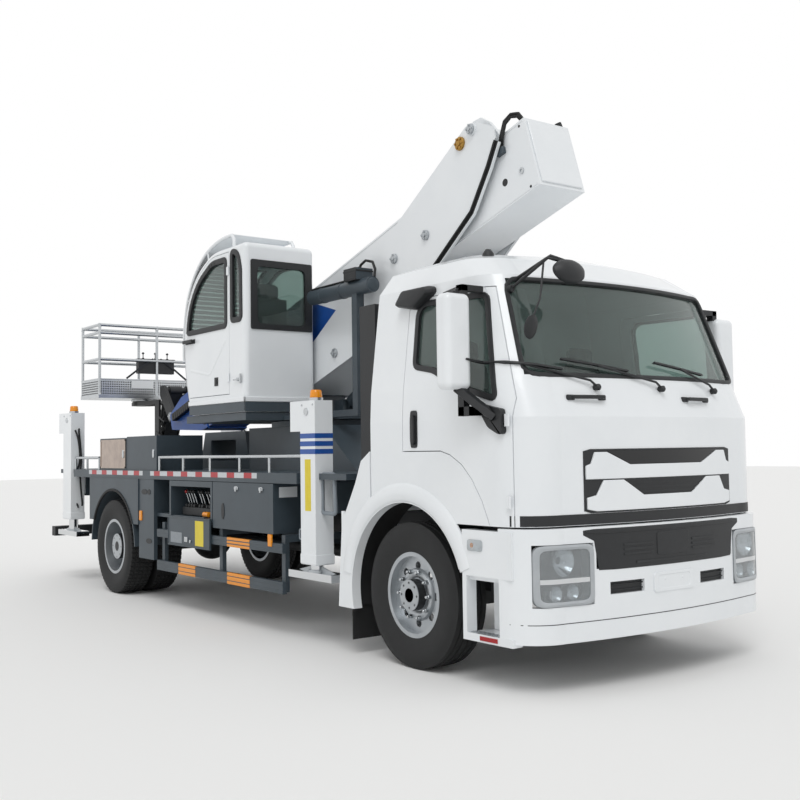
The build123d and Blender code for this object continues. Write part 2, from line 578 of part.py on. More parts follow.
# ============================================================== outriggers
for pair, x_rear, x_front, leg_low, leg_high, foot_low in LEG_PAIRS:
    with BuildPart() as cross_box:
        block(x_rear - 10, x_front + 10, -1035, 1035, BEAM_Z_LOW - 25, BEAM_Z_HIGH + 20)
        block(x_rear + 4, x_front - 4, -1040, 1040, BEAM_Z_LOW - 6, BEAM_Z_HIGH + 6, Mode.SUBTRACT)
    save(cross_box.part, "outrigger_box_" + pair)

    for side_name, side in SIDES:
        with BuildPart() as leg:
            y_low, y_high = sorted((side * BEAM_INNER_Y, side * (LEG_Y_IN + 5)))
            block(x_rear + 10, x_front - 10, y_low, y_high, BEAM_Z_LOW, BEAM_Z_HIGH)
            block(x_rear + 22, x_front - 22, y_low, y_high, BEAM_Z_LOW + 12, BEAM_Z_HIGH - 12, Mode.SUBTRACT)
            y_low, y_high = sorted((side * LEG_Y_IN, side * LEG_Y_OUT))
            block(x_rear, x_front, y_low, y_high, leg_low, leg_high)
            y_low, y_high = sorted((side * (LEG_Y_IN + 15), side * (LEG_Y_OUT - 15)))
            block(x_rear + 25, x_front - 25, y_low, y_high, leg_low - 10, leg_high - 30, Mode.SUBTRACT)
            y_middle = side * (LEG_Y_IN + LEG_Y_OUT) / 2
            y_low, y_high = sorted((side * LEG_Y_IN, side * LEG_Y_OUT))
            block(x_rear - 160, x_rear, y_low, y_high, leg_high - 250, leg_high)
            bar("Z", ((x_rear + x_front) / 2, y_middle), 55, leg_high, leg_high + 20)
            bar("Z", ((x_rear + x_front) / 2, y_middle), 45, leg_high + 20, leg_high + 80)
        save(leg.part, "outrigger_leg_" + pair + "_" + side_name)

        with BuildPart() as jack:
            x_middle = (x_rear + x_front) / 2
            y_middle = side * (LEG_Y_IN + LEG_Y_OUT) / 2
            bar("Z", (x_middle, y_middle), 55, foot_low + 30, leg_high - 60)
            block(x_middle - 330, x_middle + 330, y_middle - 80, y_middle + 80, foot_low, foot_low + 60)
        save(jack.part, "jack_" + pair + "_" + side_name)

# ================================================================== turret
with BuildPart() as turret:
    bar("Z", (SLEW_X, 0), TURRET_R, TURRET_Z_LOW, TURRET_Z_HIGH)
    bar("Z", (SLEW_X, 0), 550, PEDESTAL_TOP_Z + 8, TURRET_Z_LOW)
    block(-700, 560, -1090, 0, TURRET_Z_LOW, TURRET_Z_HIGH + 30)
    block(-115, 145, -270, 270, TURRET_Z_HIGH, LUFF_Z)
    bar("Y", (LUFF_X, LUFF_Z), 130, -270, 270)
    bar("Y", (LUFF_X, LUFF_Z), 60, -315, 315)
    for side in (-1, 1):
        block(CYL_FOOT_X - 80, CYL_FOOT_X + 80, side * 105 - 15, side * 105 + 15,
              TURRET_Z_HIGH, CYL_FOOT_Z + 60)
    bar("Y", (CYL_FOOT_X, CYL_FOOT_Z), 35, -120, 120)
    block(540, 1520, -490, -410, TURRET_Z_HIGH - 30, TURRET_Z_HIGH + 30)
    block(1440, 1520, -490, -410, TURRET_Z_HIGH, 3010)
    bar("X", (-450, 3020), 70, 720, 1720)
    block(1390, 1590, -540, -360, 3075, 3180)
save(turret.part, "turret")

# ======================================================== operator's cabin

def cabin_profile(inset):
    """Draw the side view of the operator's cabin: a box whose rear is a bowed screen."""
    front = OPC_FRONT_X - inset
    low = OPC_Z_LOW + inset
    high = OPC_Z_HIGH - inset
    with BuildLine() as edge:
        Polyline((0, high), (front, high), (front, low), (-600 + inset, low))
        ThreePointArc((-600 + inset, low), (-735 + inset, 2350), (-765 + inset, 2750))
        ThreePointArc((-765 + inset, 2750), (-620 + 0.8 * inset, 3186 - 0.6 * inset),
                      (-250 + 0.3 * inset, 3470 - inset))
        ThreePointArc((-250 + 0.3 * inset, 3470 - inset), (-130, 3513 - inset), (0, high))
    make_face(edge.edges())


def cabin_form(inset, y0, y1, mode=Mode.ADD):
    """Extrude the cabin's side view between two side planes."""
    with BuildSketch(Plane.XZ.offset(-y0)) as outline:
        cabin_profile(inset)
    extrude(outline.sketch, amount=-(y1 - y0), mode=mode)



def cabin_panel(inset, x_high, z_low, y0, y1, mode=Mode.ADD):
    """Extrude the part of the cabin's side view behind x_high and above z_low."""
    with BuildSketch(Plane.XZ.offset(-y0)) as outline:
        cabin_profile(inset)
        with Locations((x_high - 1000, z_low + 1000)):
            Rectangle(2000, 2000, mode=Mode.INTERSECT)
    extrude(outline.sketch, amount=-(y1 - y0), mode=mode)


with BuildPart() as operator_cabin:
    cabin_form(0, OPC_Y_OUT, OPC_Y_IN)
    fillet([edge for edge in edges() if edge.center().Z > OPC_Z_LOW + 20], OPC_CORNER)
    cabin_form(OPC_WALL, OPC_Y_OUT + OPC_WALL, OPC_Y_IN - OPC_WALL, Mode.SUBTRACT)
    cabin_panel(OPC_DOOR_INSET - SEAM, OPC_DOOR_X + SEAM, OPC_DOOR_Z - SEAM,
                OPC_Y_OUT - 20, OPC_Y_OUT + OPC_WALL + 10, Mode.SUBTRACT)
    side_prism(OPC_SLIM_WINDOW, OPC_Y_OUT - 20, OPC_Y_OUT + OPC_WALL + 10, Mode.SUBTRACT)
    cabin_panel(OPC_GLASS_INSET, 450, OPC_GLASS_Z, OPC_Y_IN - OPC_WALL - 10, OPC_Y_IN + 20, Mode.SUBTRACT)
    front_prism(OPC_BACK_WINDOW, OPC_FRONT_X - 60, OPC_FRONT_X + 20, Mode.SUBTRACT)
    block(-900, -250, OPC_Y_OUT + 45, OPC_Y_IN - 45, 2060, 3440, Mode.SUBTRACT)
save(operator_cabin.part, "operator_cabin")

with BuildPart() as operator_cabin_glass:
    cabin_form(12, OPC_Y_OUT + 45, OPC_Y_IN - 45)
    cabin_form(20, OPC_Y_OUT, OPC_Y_IN, Mode.SUBTRACT)
    block(-900, -250, OPC_Y_OUT + 45, OPC_Y_IN - 45, 2060, 3440, Mode.INTERSECT)
    side_prism(OPC_SLIM_WINDOW, OPC_Y_OUT + 15, OPC_Y_OUT + 23)
    cabin_panel(OPC_GLASS_INSET, 450, OPC_GLASS_Z, OPC_Y_IN - 23, OPC_Y_IN - 15)
    front_prism(OPC_BACK_WINDOW, OPC_FRONT_X - 23, OPC_FRONT_X - 15)
save(operator_cabin_glass.part, "operator_cabin_glass")

with BuildPart() as operator_door:
    cabin_panel(OPC_DOOR_INSET, OPC_DOOR_X, OPC_DOOR_Z, OPC_Y_OUT, OPC_Y_OUT + OPC_WALL - 2)
    cabin_panel(OPC_GLASS_INSET, OPC_DOOR_X - 60, OPC_GLASS_Z,
                OPC_Y_OUT - 20, OPC_Y_OUT + OPC_WALL + 10, Mode.SUBTRACT)
    for z_low, z_high in ((2230, 2310), (3250, 3330)):
        block(225, 256, OPC_Y_OUT - 12, OPC_Y_OUT + 6, z_low, z_high)
        bar("Z", (262, OPC_Y_OUT - 10), 8, z_low, z_high)
save(operator_door.part, "operator_door")

with BuildPart() as operator_door_glass:
    cabin_panel(OPC_GLASS_INSET, OPC_DOOR_X - 60, OPC_GLASS_Z, OPC_Y_OUT + 15, OPC_Y_OUT + 23)
save(operator_door_glass.part, "operator_door_glass")

with BuildPart() as operator_seat:
    block(-150, 350, -970, -470, 1976, 2330)
    block(-170, 330, -960, -480, 2330, 2450)
    block(230, 350, -950, -490, 2450, 3080)
    block(-190, 150, -1030, -980, 2330, 2520)
    block(-190, 150, -460, -410, 2330, 2520)
save(operator_seat.part, "operator_seat")

# =================================================================== booms
with BuildPart() as lower_boom:
    for y0, y1 in ((-FORK_OUT, -FORK_IN), (FORK_IN, FORK_OUT)):
        side_prism(FORK_OUTLINE, y0, y1)
    side_prism(((220, 2127), (1850, 2719), (1850, 2737), (220, 2146)), -FORK_IN, FORK_IN)
    bar("Y", (LUFF_X, LUFF_Z), 60.05, -400, 400, Mode.SUBTRACT)
    bar("Y", (ELBOW_X, ELBOW_Z), 50.05, -400, 400, Mode.SUBTRACT)
    for side in (-1, 1):
        block(CYL_EYE_X - 60, CYL_EYE_X + 60, side * 105 - 15, side * 105 + 15,
              CYL_EYE_Z - 55, 2600)
        y_low, y_high = sorted((side * 112, side * 138))
        bar("Y", (CYL_EYE_X, CYL_EYE_Z), 50, y_low, y_high)
save(lower_boom.part, "lower_boom")

cyl_length = hypot(CYL_EYE_X - CYL_FOOT_X, CYL_EYE_Z - CYL_FOOT_Z)
cyl_plane = Plane(origin=(CYL_FOOT_X, 0, CYL_FOOT_Z),
                  z_dir=(CYL_EYE_X - CYL_FOOT_X, 0, CYL_EYE_Z - CYL_FOOT_Z),
                  x_dir=(0, 1, 0))
with BuildPart() as lift_barrel:
    with Locations(Location(cyl_plane)):
        with Locations((0, 0, 480)):
            Cylinder(75, 760)
    bar("Y", (CYL_FOOT_X, CYL_FOOT_Z), 70, -80, 80)
    with Locations(Location(cyl_plane)):
        with Locations((0, 0, 60)):
            Box(100, 100, 100)
        with Locations((0, 0, 500)):
            Cylinder(45.05, 800, mode=Mode.SUBTRACT)
    bar("Y", (CYL_FOOT_X, CYL_FOOT_Z), 35.05, -100, 100, Mode.SUBTRACT)
save(lift_barrel.part, "lift_barrel")

with BuildPart() as lift_rod:
    with Locations(Location(cyl_plane)):
        with Locations((0, 0, (140 + cyl_length - 50) / 2)):
            Cylinder(45, cyl_length - 50 - 140)
    bar("Y", (CYL_EYE_X, CYL_EYE_Z), 55, -80, 80)
save(lift_rod.part, "lift_rod")

boom_cos = cos(radians(BOOM_ANGLE))
boom_sin = sin(radians(BOOM_ANGLE))
boom_plane = Plane(origin=(BOOM_HEAD_X, 0, BOOM_HEAD_Z), x_dir=(-boom_cos, 0, -boom_sin),
                   z_dir=(0, 1, 0))


def boom_prism(points, half, mode=Mode.ADD):
    """Extrude an outline given along and square to the telescopic boom."""
    with BuildSketch(boom_plane) as outline:
        Polygon(*points, align=None)
    extrude(outline.sketch, amount=half, both=True, mode=mode)


def boom_box(start, end, low, high, half, mode=Mode.ADD):
    """Add a straight length of boom section."""
    boom_prism(((start, low), (end, low), (end, high), (start, high)), half, mode)


with BuildPart() as upper_boom:
    boom_box(0, BOOM_LENGTH, -BOOM_DEPTH, 0, BOOM_HALF_W)
    boom_box(40, BOOM_LENGTH + 10, -BOOM_DEPTH + 12, -12, BOOM_HALF_W - 12, Mode.SUBTRACT)
    side_prism(((2650, 3830), (3200, 4000), (3060, 4160), (2960, 4220), (2860, 4210), (2780, 4120)),
               -BOOM_HALF_W, -BOOM_HALF_W + 30)
    side_prism(((2650, 3830), (3200, 4000), (3060, 4160), (2960, 4220), (2860, 4210), (2780, 4120)),
               BOOM_HALF_W - 30, BOOM_HALF_W)
    bar("Y", (ELBOW_X, ELBOW_Z), 50, -315, 315)
save(upper_boom.part, "upper_boom")

with BuildPart() as middle_boom:
    boom_box(300, BOOM_LENGTH, -BOOM_DEPTH + 18, -18, BOOM_HALF_W - 18)
    boom_box(290, BOOM_LENGTH + 10, -BOOM_DEPTH + 28, -28, BOOM_HALF_W - 28, Mode.SUBTRACT)
save(middle_boom.part, "middle_boom")

with BuildPart() as inner_boom:
    boom_box(500, BOOM_LENGTH + 6, -BOOM_DEPTH + 34, -34, BOOM_HALF_W - 34)
    boom_box(490, BOOM_LENGTH + 4, -BOOM_DEPTH + 44, -44, BOOM_HALF_W - 44, Mode.SUBTRACT)
    boom_prism(((BOOM_LENGTH + 6, -560), (5985, -560), (6774, -295), (6778, -100), (6413, 0),
                (BOOM_LENGTH + 6, 0)), BOOM_HALF_W)
    boom_prism(((6700, -180), (6859, -180), (6920, -92), (6859, -10), (6700, -10)), 140)
    bar("Y", (LEVEL_X, LEVEL_Z), 40.05, -200, 200, Mode.SUBTRACT)
save(inner_boom.part, "inner_boom")

with BuildPart() as jib_head:
    for y0, y1 in ((-185, -150), (150, 185)):
        side_prism(((LEVEL_X + 70, LEVEL_Z - 40), (LEVEL_X + 60, LEVEL_Z + 60), (JIB_X + 70, JIB_Z + 60),
                    (JIB_X - 50, JIB_Z + 60), (JIB_X - 50, JIB_Z - 60), (LEVEL_X - 60, LEVEL_Z - 70)),
                   y0, y1)
    bar("Y", (LEVEL_X, LEVEL_Z), 40, -185, 185)
    bar("Y", (JIB_X, JIB_Z), 35, -185, 185)
save(jib_head.part, "jib_head")

with BuildPart() as jib:
    side_prism(((JIB_X - 58, JIB_Z + 15), (JIB_X + 58, JIB_Z + 10), (JIB_END_X + 70, JIB_END_Z),
                (JIB_END_X - 75, JIB_END_Z + 20), (JIB_X - 62, JIB_Z - 115)), -85, 85)
    bar("Y", (JIB_X, JIB_Z), 59, -85, 85)
    bar("Y", (JIB_END_X, JIB_END_Z), 75, -85, 85)
    bar("Y", (JIB_X, JIB_Z), 35.05, -100, 100, Mode.SUBTRACT)
    bar("Y", (JIB_END_X, JIB_END_Z), 35, -130, 130)
save(jib.part, "jib")

with BuildPart() as basket_bracket:
    for y0, y1 in ((-130, -100), (100, 130)):
        side_prism(((JIB_END_X - 70, JIB_END_Z - 70), (JIB_END_X + 60, JIB_END_Z - 70),
                    (JIB_END_X + 60, 2258), (BASKET_SLEW_X - 110, 2258),
                    (BASKET_SLEW_X - 110, 2206), (JIB_END_X - 70, 2206)), y0, y1)
    bar("Z", (BASKET_SLEW_X, 0), 150, 2206, 2264)
    bar("Y", (JIB_END_X, JIB_END_Z), 35.05, -200, 200, Mode.SUBTRACT)
save(basket_bracket.part, "basket_bracket")

with BuildPart() as basket:
    bar("Z", (BASKET_SLEW_X, 0), 170, 2270, BASKET_FLOOR_Z + 20)
    block(BASKET_REAR_X, BASKET_FRONT_X, -BASKET_HALF_W, BASKET_HALF_W, BASKET_FLOOR_Z, BASKET_FLOOR_Z + 40)
    post_places = [(x, y) for x in (BASKET_REAR_X + 20, BASKET_FRONT_X - 20)
                   for y in (-780, 0, 780)]
    for x, y in post_places:
        bar("Z", (x, y), 18, BASKET_FLOOR_Z + 20, BASKET_TOP_Z)
    for z in (BASKET_FLOOR_Z + 500, BASKET_TOP_Z - 120, BASKET_TOP_Z - 20):
        for x in (BASKET_REAR_X + 20, BASKET_FRONT_X - 20):
            bar("Y", (x, z), 20, -780, 780)
        for y in (-780, 780):
            bar("X", (y, z), 20, BASKET_REAR_X + 20, BASKET_FRONT_X - 20)
    for x in (BASKET_REAR_X + 12, BASKET_FRONT_X - 15):
        block(x, x + 3, -780, 780, BASKET_FLOOR_Z + 40, BASKET_FLOOR_Z + 240)
    for y in (-795, 792):
        block(BASKET_REAR_X + 15, BASKET_FRONT_X - 15, y, y + 3, BASKET_FLOOR_Z + 40, BASKET_FLOOR_Z + 240)
save(basket.part, "basket")
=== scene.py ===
"""The looks of the cherry picker truck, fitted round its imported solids.

Every new piece is a surface worked out with numpy: a profile turned about an
axis, a round section carried along a path, or an outline given a thickness.
"""
import json
import bmesh
import bpy
import numpy as np
from mathutils import Matrix


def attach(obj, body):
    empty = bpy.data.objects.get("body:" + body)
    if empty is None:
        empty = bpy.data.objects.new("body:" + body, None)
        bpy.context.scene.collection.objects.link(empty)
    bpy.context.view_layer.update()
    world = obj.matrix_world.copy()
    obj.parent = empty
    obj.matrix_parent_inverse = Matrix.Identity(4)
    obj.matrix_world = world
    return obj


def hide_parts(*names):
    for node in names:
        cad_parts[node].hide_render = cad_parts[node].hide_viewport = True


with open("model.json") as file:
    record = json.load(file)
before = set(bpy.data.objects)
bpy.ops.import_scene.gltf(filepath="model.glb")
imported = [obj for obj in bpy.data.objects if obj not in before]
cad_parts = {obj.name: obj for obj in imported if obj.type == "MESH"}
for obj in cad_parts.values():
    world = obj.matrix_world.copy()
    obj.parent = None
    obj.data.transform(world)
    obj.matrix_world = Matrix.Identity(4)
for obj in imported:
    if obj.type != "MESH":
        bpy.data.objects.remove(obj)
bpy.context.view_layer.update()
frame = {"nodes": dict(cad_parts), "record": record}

nodes = frame["nodes"]

# ------------------------------------------------------------------- camera
# The view of a person standing off the lorry's right front corner.
# The picture's frame is square, so the lens and the shifts are shares of it.
EYE = np.array((9.267, -5.740, 1.562))
YAW, PITCH, ROLL = 2.4948, 0.0570, -0.0147
LENS_MM, SENSOR_MM = 47.49, 36.0
SHIFT_X, SHIFT_Y = -0.0145, -0.0133

forward = np.array((np.cos(PITCH) * np.cos(YAW), np.cos(PITCH) * np.sin(YAW), np.sin(PITCH)))
level_right = np.cross(forward, (0, 0, 1))
level_right /= np.linalg.norm(level_right)
level_up = np.cross(level_right, forward)
right = np.cos(ROLL) * level_right + np.sin(ROLL) * level_up
up = -np.sin(ROLL) * level_right + np.cos(ROLL) * level_up
camera = bpy.data.objects.new("camera", bpy.data.cameras.new("camera"))
camera.data.lens = LENS_MM
camera.data.sensor_width = SENSOR_MM
camera.data.shift_x = SHIFT_X
camera.data.shift_y = SHIFT_Y
camera.data.clip_end = 200
turn = np.eye(4)
turn[:3, 0], turn[:3, 1], turn[:3, 2], turn[:3, 3] = right, up, -forward, EYE
camera.matrix_world = Matrix(turn.tolist())
bpy.context.scene.collection.objects.link(camera)
bpy.context.scene.camera = camera
bpy.context.scene.view_settings.view_transform = "Standard"


def linear(hex_colour):
    """Turn an sRGB hex colour into linear RGBA by the sRGB curve."""
    value = np.array([int(hex_colour[i:i + 2], 16) / 255 for i in (1, 3, 5)])
    low, high = value / 12.92, ((value + 0.055) / 1.055) ** 2.4
    return (*np.where(value <= 0.04045, low, high).tolist(), 1.0)


def add_node(tree, kind, links=None, **settings):
    """Add a shader node; settings name its sockets or properties, links join sockets to it."""
    made = tree.nodes.new(kind)
    for name, value in settings.items():
        if hasattr(made, name):
            setattr(made, name, value)
        else:
            made.inputs[name.replace("_", " ")].default_value = value
    for name, source in (links or {}).items():
        tree.links.new(source, made.inputs[name])
    return made


def finish_of(name, colour, second=None, size_mm=400.0, spread=0.5, bump=0.0, bump_mm=2.0,
              **surface):
    """A material: two close colours mixed by a soft noise of size_mm, and a fine bump of bump_mm."""
    material = bpy.data.materials.new(name)
    material.use_nodes = True
    tree = material.node_tree
    shader = tree.nodes["Principled BSDF"]
    for socket, value in surface.items():
        shader.inputs[socket.replace("_", " ")].default_value = value
    place = add_node(tree, "ShaderNodeTexCoord")
    if second is None:
        shader.inputs["Base Color"].default_value = linear(colour)
    else:
        cloud = add_node(tree, "ShaderNodeTexNoise", {"Vector": place.outputs["Object"]},
                         Scale=1000.0 / size_mm, Detail=6.0, Roughness=0.6)
        share = add_node(tree, "ShaderNodeMapRange", {"Value": cloud.outputs["Fac"]},
                         From_Min=0.5 - spread / 2, From_Max=0.5 + spread / 2)
        mix = add_node(tree, "ShaderNodeMix", data_type="RGBA")
        mix.inputs[6].default_value = linear(colour)
        mix.inputs[7].default_value = linear(second)
        tree.links.new(share.outputs["Result"], mix.inputs[0])
        tree.links.new(mix.outputs[2], shader.inputs["Base Color"])
    if bump:
        grain = add_node(tree, "ShaderNodeTexNoise", {"Vector": place.outputs["Object"]},
                         Scale=1000.0 / bump_mm, Detail=2.0)
        lift = add_node(tree, "ShaderNodeBump", {"Height": grain.outputs["Fac"]},
                        Strength=bump, Distance=0.001)
        tree.links.new(lift.outputs["Normal"], shader.inputs["Normal"])
    return material


# -------------------------------------------------------------------- stage
# A pale seamless floor, an even sky and one broad soft lamp high on the right.
FLOOR_HALF = 60.0
floor_mesh = bpy.data.meshes.new("floor")
floor_mesh.from_pydata([(-FLOOR_HALF, -FLOOR_HALF, 0), (FLOOR_HALF, -FLOOR_HALF, 0),
                        (FLOOR_HALF, FLOOR_HALF, 0), (-FLOOR_HALF, FLOOR_HALF, 0)], [], [(0, 1, 2, 3)])
floor = bpy.data.objects.new("floor", floor_mesh)
bpy.context.scene.collection.objects.link(floor)
floor_mesh.materials.append(finish_of("pale floor", "#F4F4F3", Roughness=0.9))
world = bpy.data.worlds.new("sky")
world.use_nodes = True
sky = world.node_tree
rays = add_node(sky, "ShaderNodeLightPath")
seen = add_node(sky, "ShaderNodeMath", {0: rays.outputs["Is Camera Ray"], 1: rays.outputs["Is Glossy Ray"]},
                operation="MAXIMUM")
seen_through = add_node(sky, "ShaderNodeMath",
                        {0: seen.outputs[0], 1: rays.outputs["Is Transmission Ray"]}, operation="MAXIMUM")
strength = add_node(sky, "ShaderNodeMapRange", {"Value": seen_through.outputs[0]}, To_Min=0.66, To_Max=1.0)
sky.nodes["Background"].inputs["Color"].default_value = (1, 1, 1, 1)
sky.links.new(strength.outputs["Result"], sky.nodes["Background"].inputs["Strength"])
bpy.context.scene.world = world
lamp = bpy.data.objects.new("soft sun", bpy.data.lights.new("soft sun", "SUN"))
lamp.data.energy = 0.95
lamp.data.angle = 0.5
lamp.rotation_euler = (0.55, 0.35, 0.3)
bpy.context.scene.collection.objects.link(lamp)

# ----------------------------------------------------------------- finishes
# Two-pack lacquer on the cab and booms: even, glossy, with a faint film of dust.
white = finish_of("white lacquer", "#EEF1F3", "#E4E8EB", 700, 0.6, 0.05, 3.0,
                  Roughness=0.30, Coat_Weight=0.5, Coat_Roughness=0.08)
# Satin machine enamel, brushed on heavy plate: slightly mottled.
slate = finish_of("slate enamel", "#3F4A52", "#364047", 260, 0.5, 0.12, 4.0, Roughness=0.42)
blue = finish_of("blue enamel", "#1D55A8", "#1A4A93", 300, 0.5, 0.08, 4.0, Roughness=0.34)
# Black wax-dipped chassis paint with road dust in its low places.
chassis_black = finish_of("chassis black", "#1B1D1F", "#26282A", 180, 0.5, 0.25, 5.0, Roughness=0.55)
# Moulded ABS with a spark-eroded grain that scatters light evenly.
plastic = finish_of("grained plastic", "#17191B", "#1D1F22", 60, 0.6, 0.35, 1.2, Roughness=0.5)
rubber = finish_of("tyre rubber", "#131415", "#1B1C1D", 90, 0.5, 0.25, 1.5, Roughness=0.72)
silver = finish_of("silver wheel paint", "#B7BBBE", "#A9AEB2", 120, 0.5, 0.1, 2.0,
                   Metallic=0.75, Roughness=0.36)
chrome = finish_of("hard chrome", "#D8DADC", Metallic=1.0, Roughness=0.1)
stainless = finish_of("drawn stainless tube", "#C6C9CB", "#B6BABD", 40, 0.6, Metallic=1.0, Roughness=0.27)
glass = finish_of("tinted float glass", "#A9BBB6", Roughness=0.02, Transmission_Weight=0.92, IOR=1.45)
clear_lens = finish_of("clear polycarbonate", "#DDE3E6", Roughness=0.05, Transmission_Weight=0.8, IOR=1.5)
amber_lens = finish_of("amber acrylic", "#F79A17", Roughness=0.12, Transmission_Weight=0.1, IOR=1.49)
red_lens = finish_of("red acrylic", "#B0141A", Roughness=0.12, Transmission_Weight=0.2, IOR=1.49)
fabric = finish_of("woven seat cloth", "#26282C", "#34373C", 6, 0.7, 0.5, 1.5, Roughness=0.85)

SLOT_FINISH = {
    "white_paint": white, "slate_paint": slate, "blue_paint": blue, "dark_steel": chassis_black,
    "glass": glass, "black_plastic": plastic, "tyre": rubber, "wheel_silver": silver,
    "chrome": chrome, "aluminium": stainless, "lamp_glass": clear_lens, "red_lens": red_lens,
    "seat_fabric": fabric,
}
SLOT_OF = {made.name: slot_name for slot_name, made in SLOT_FINISH.items()}
SLOT_OF[amber_lens.name] = "red_lens"
for entry in frame["record"]["subparts"]:
    cad_object = nodes[entry["node"]]
    for material_slot in cad_object.material_slots:
        material_slot.material = SLOT_FINISH[entry["material_slot"]]

# -------------------------------------------------------------------- tyres
# Steel-belted radial tyres, 295 mm wide and 1044 mm across. The steering pair has
# five plain ribs; the driving pairs have blocks cut by cross grooves.
WHEEL_R, SHOULDER_R, BEAD_R, INSIDE_R = 0.522, 0.505, 0.306, 0.2905
TYRE_HALF_W, TREAD_HALF_W = 0.1475, 0.125
ON_TREAD = slice(9, 50)
GROOVES, GROOVE_DEPTH, GROOVE_HALF = (-0.078, -0.028, 0.028, 0.078), 0.013, 0.006


def grid_faces(rows, cols, wrap_rows=False, wrap_cols=False):
    """Quads that join each point of a rows by cols grid to its neighbours."""
    r = np.arange(rows if wrap_rows else rows - 1)[:, None]
    c = np.arange(cols if wrap_cols else cols - 1)[None, :]
    r2, c2 = (r + 1) % rows, (c + 1) % cols
    quads = np.stack([r * cols + c, r * cols + c2, r2 * cols + c2, r2 * cols + c], axis=-1)
    return quads.reshape(-1, 4).tolist()


def piece(name, shapes, finish, body="chassis", bevel=0.0, angle=38.0, recalc=True):
    """Join (points, faces) shapes into one object in one finish, on a body."""
    points, faces, start = [], [], 0
    for shape_points, shape_faces in shapes:
        points.append(np.asarray(shape_points, float).reshape(-1, 3))
        faces += [tuple(i + start for i in face) for face in shape_faces]
        start += len(points[-1])
    mesh = bpy.data.meshes.new(name)
    mesh.from_pydata(np.concatenate(points).tolist(), [], faces)
    if recalc:
        work = bmesh.new()
        work.from_mesh(mesh)
        bmesh.ops.recalc_face_normals(work, faces=work.faces)
        work.to_mesh(mesh)
        work.free()
    mesh.shade_smooth()
    mesh.set_sharp_from_angle(angle=np.radians(angle))
    mesh.materials.append(finish)
    made = bpy.data.objects.new(name, mesh)
    bpy.context.scene.collection.objects.link(made)
    if bevel:
        edge = made.modifiers.new("rounded edges", "BEVEL")
        edge.width, edge.segments, edge.limit_method = bevel, 2, "ANGLE"
    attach(made, body)
    return made


def turned(profile, centre, axis="Y", steps=48, closed=False):
    """A profile of (radius, distance along the axis) points turned about that axis."""
    profile = np.asarray(profile, float)
    angle = np.linspace(0, 2 * np.pi, steps, endpoint=False)[None, :]
    radius, along = profile[:, :1], profile[:, 1:] + 0 * angle
    a, b = radius * np.cos(angle), radius * np.sin(angle)
    order = {"X": (along, a, b), "Y": (a, along, b), "Z": (a, b, along)}[axis]
    points = np.stack(order, axis=-1).reshape(-1, 3) + np.asarray(centre)
    faces = grid_faces(len(profile), steps, wrap_rows=closed, wrap_cols=True)
    if not closed:
        faces += [tuple(range(steps)), tuple(range((len(profile) - 1) * steps, len(profile) * steps))]
    return points, faces


def upright(outline, y):
    """Points (x, z) set upright at a distance y from the lorry's middle."""
    outline = np.asarray(outline, float)
    return np.column_stack([outline[:, 0], y + np.zeros(len(outline)), outline[:, 1]])


def facing(outline, x):
    """Points (y, z) set in a plane across the lorry at x."""
    return np.column_stack([np.full(len(outline), x), outline])


def tyre_surface(middle_y, axle_x, steps, cross_groove):
    """Radius and side of each profile point over the wheel's angle; grooves lower the radius."""
    tread = np.linspace(-TREAD_HALF_W, TREAD_HALF_W, 41)
    wall = np.linspace(0, 1, 9)
    wall_r = BEAD_R + (SHOULDER_R - BEAD_R) * wall
    wall_y = TYRE_HALF_W - 0.026 + 0.026 * np.sin(np.pi * np.clip(wall * 1.25, 0, 1) / 2) - 0.020 * wall ** 6
    along = np.concatenate([-wall_y, tread, wall_y[::-1]])
    radius = np.concatenate([wall_r, WHEEL_R - 0.004 * (np.abs(tread) / TREAD_HALF_W) ** 4, wall_r[::-1]])
    groove = np.zeros_like(along)
    for line in GROOVES:
        groove[ON_TREAD] += np.abs(tread - line) < GROOVE_HALF
    angle = np.linspace(0, 2 * np.pi, steps, endpoint=False)[None, :]
    depth = np.clip(groove[:, None] + 0 * angle, 0, 1)
    if cross_groove:
        on_tread = np.zeros_like(along)
        on_tread[ON_TREAD] = 1
        beat = np.cos(angle * 64 + 9 * along[:, None]) > 0.55
        depth = np.maximum(depth, on_tread[:, None] * beat * 0.8)
    reach = radius[:, None] - GROOVE_DEPTH * depth
    points = np.stack([axle_x + reach * np.cos(angle), middle_y + along[:, None] + 0 * angle,
                       WHEEL_R + reach * np.sin(angle)], axis=-1)
    edge = np.array([[1.0], [-1.0]])
    inside = np.stack([axle_x + INSIDE_R * np.cos(angle) + 0 * edge, middle_y + 0.1 * edge + 0 * angle,
                       WHEEL_R + INSIDE_R * np.sin(angle) + 0 * edge], axis=-1)
    points = np.concatenate([points, inside])
    return points.reshape(-1, 3), grid_faces(len(points), steps, wrap_rows=True, wrap_cols=True)


FRONT_AXLE_X, REAR_AXLE_X = 3.165, -2.343
FRONT_HALF_TRACK, REAR_OUTER_Y, REAR_INNER_Y = 1.027, 1.087, 0.752
SIDES = (("right", -1.0), ("left", 1.0))
for side_name, side in SIDES:
    made = piece("front_tread_" + side_name,
                 [tyre_surface(side * FRONT_HALF_TRACK, FRONT_AXLE_X, 192, False)],
                 rubber, "front_wheel_" + side_name, angle=30)
    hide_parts("front_tyre_" + side_name)
    made = piece("rear_tread_" + side_name,
                 [tyre_surface(side * y, REAR_AXLE_X, 384, True) for y in (REAR_OUTER_Y, REAR_INNER_Y)],
                 rubber, "rear_wheels_" + side_name, angle=30)
    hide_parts("rear_tyres_" + side_name)

# ------------------------------------------------------------- wheel centres
# Pressed steel discs with a rolled dish, ten nuts on a 335 mm circle with
# long studs through them, and a forged hub with a bolted cap.
NUT_CIRCLE_R, NUTS = 0.1675, 10


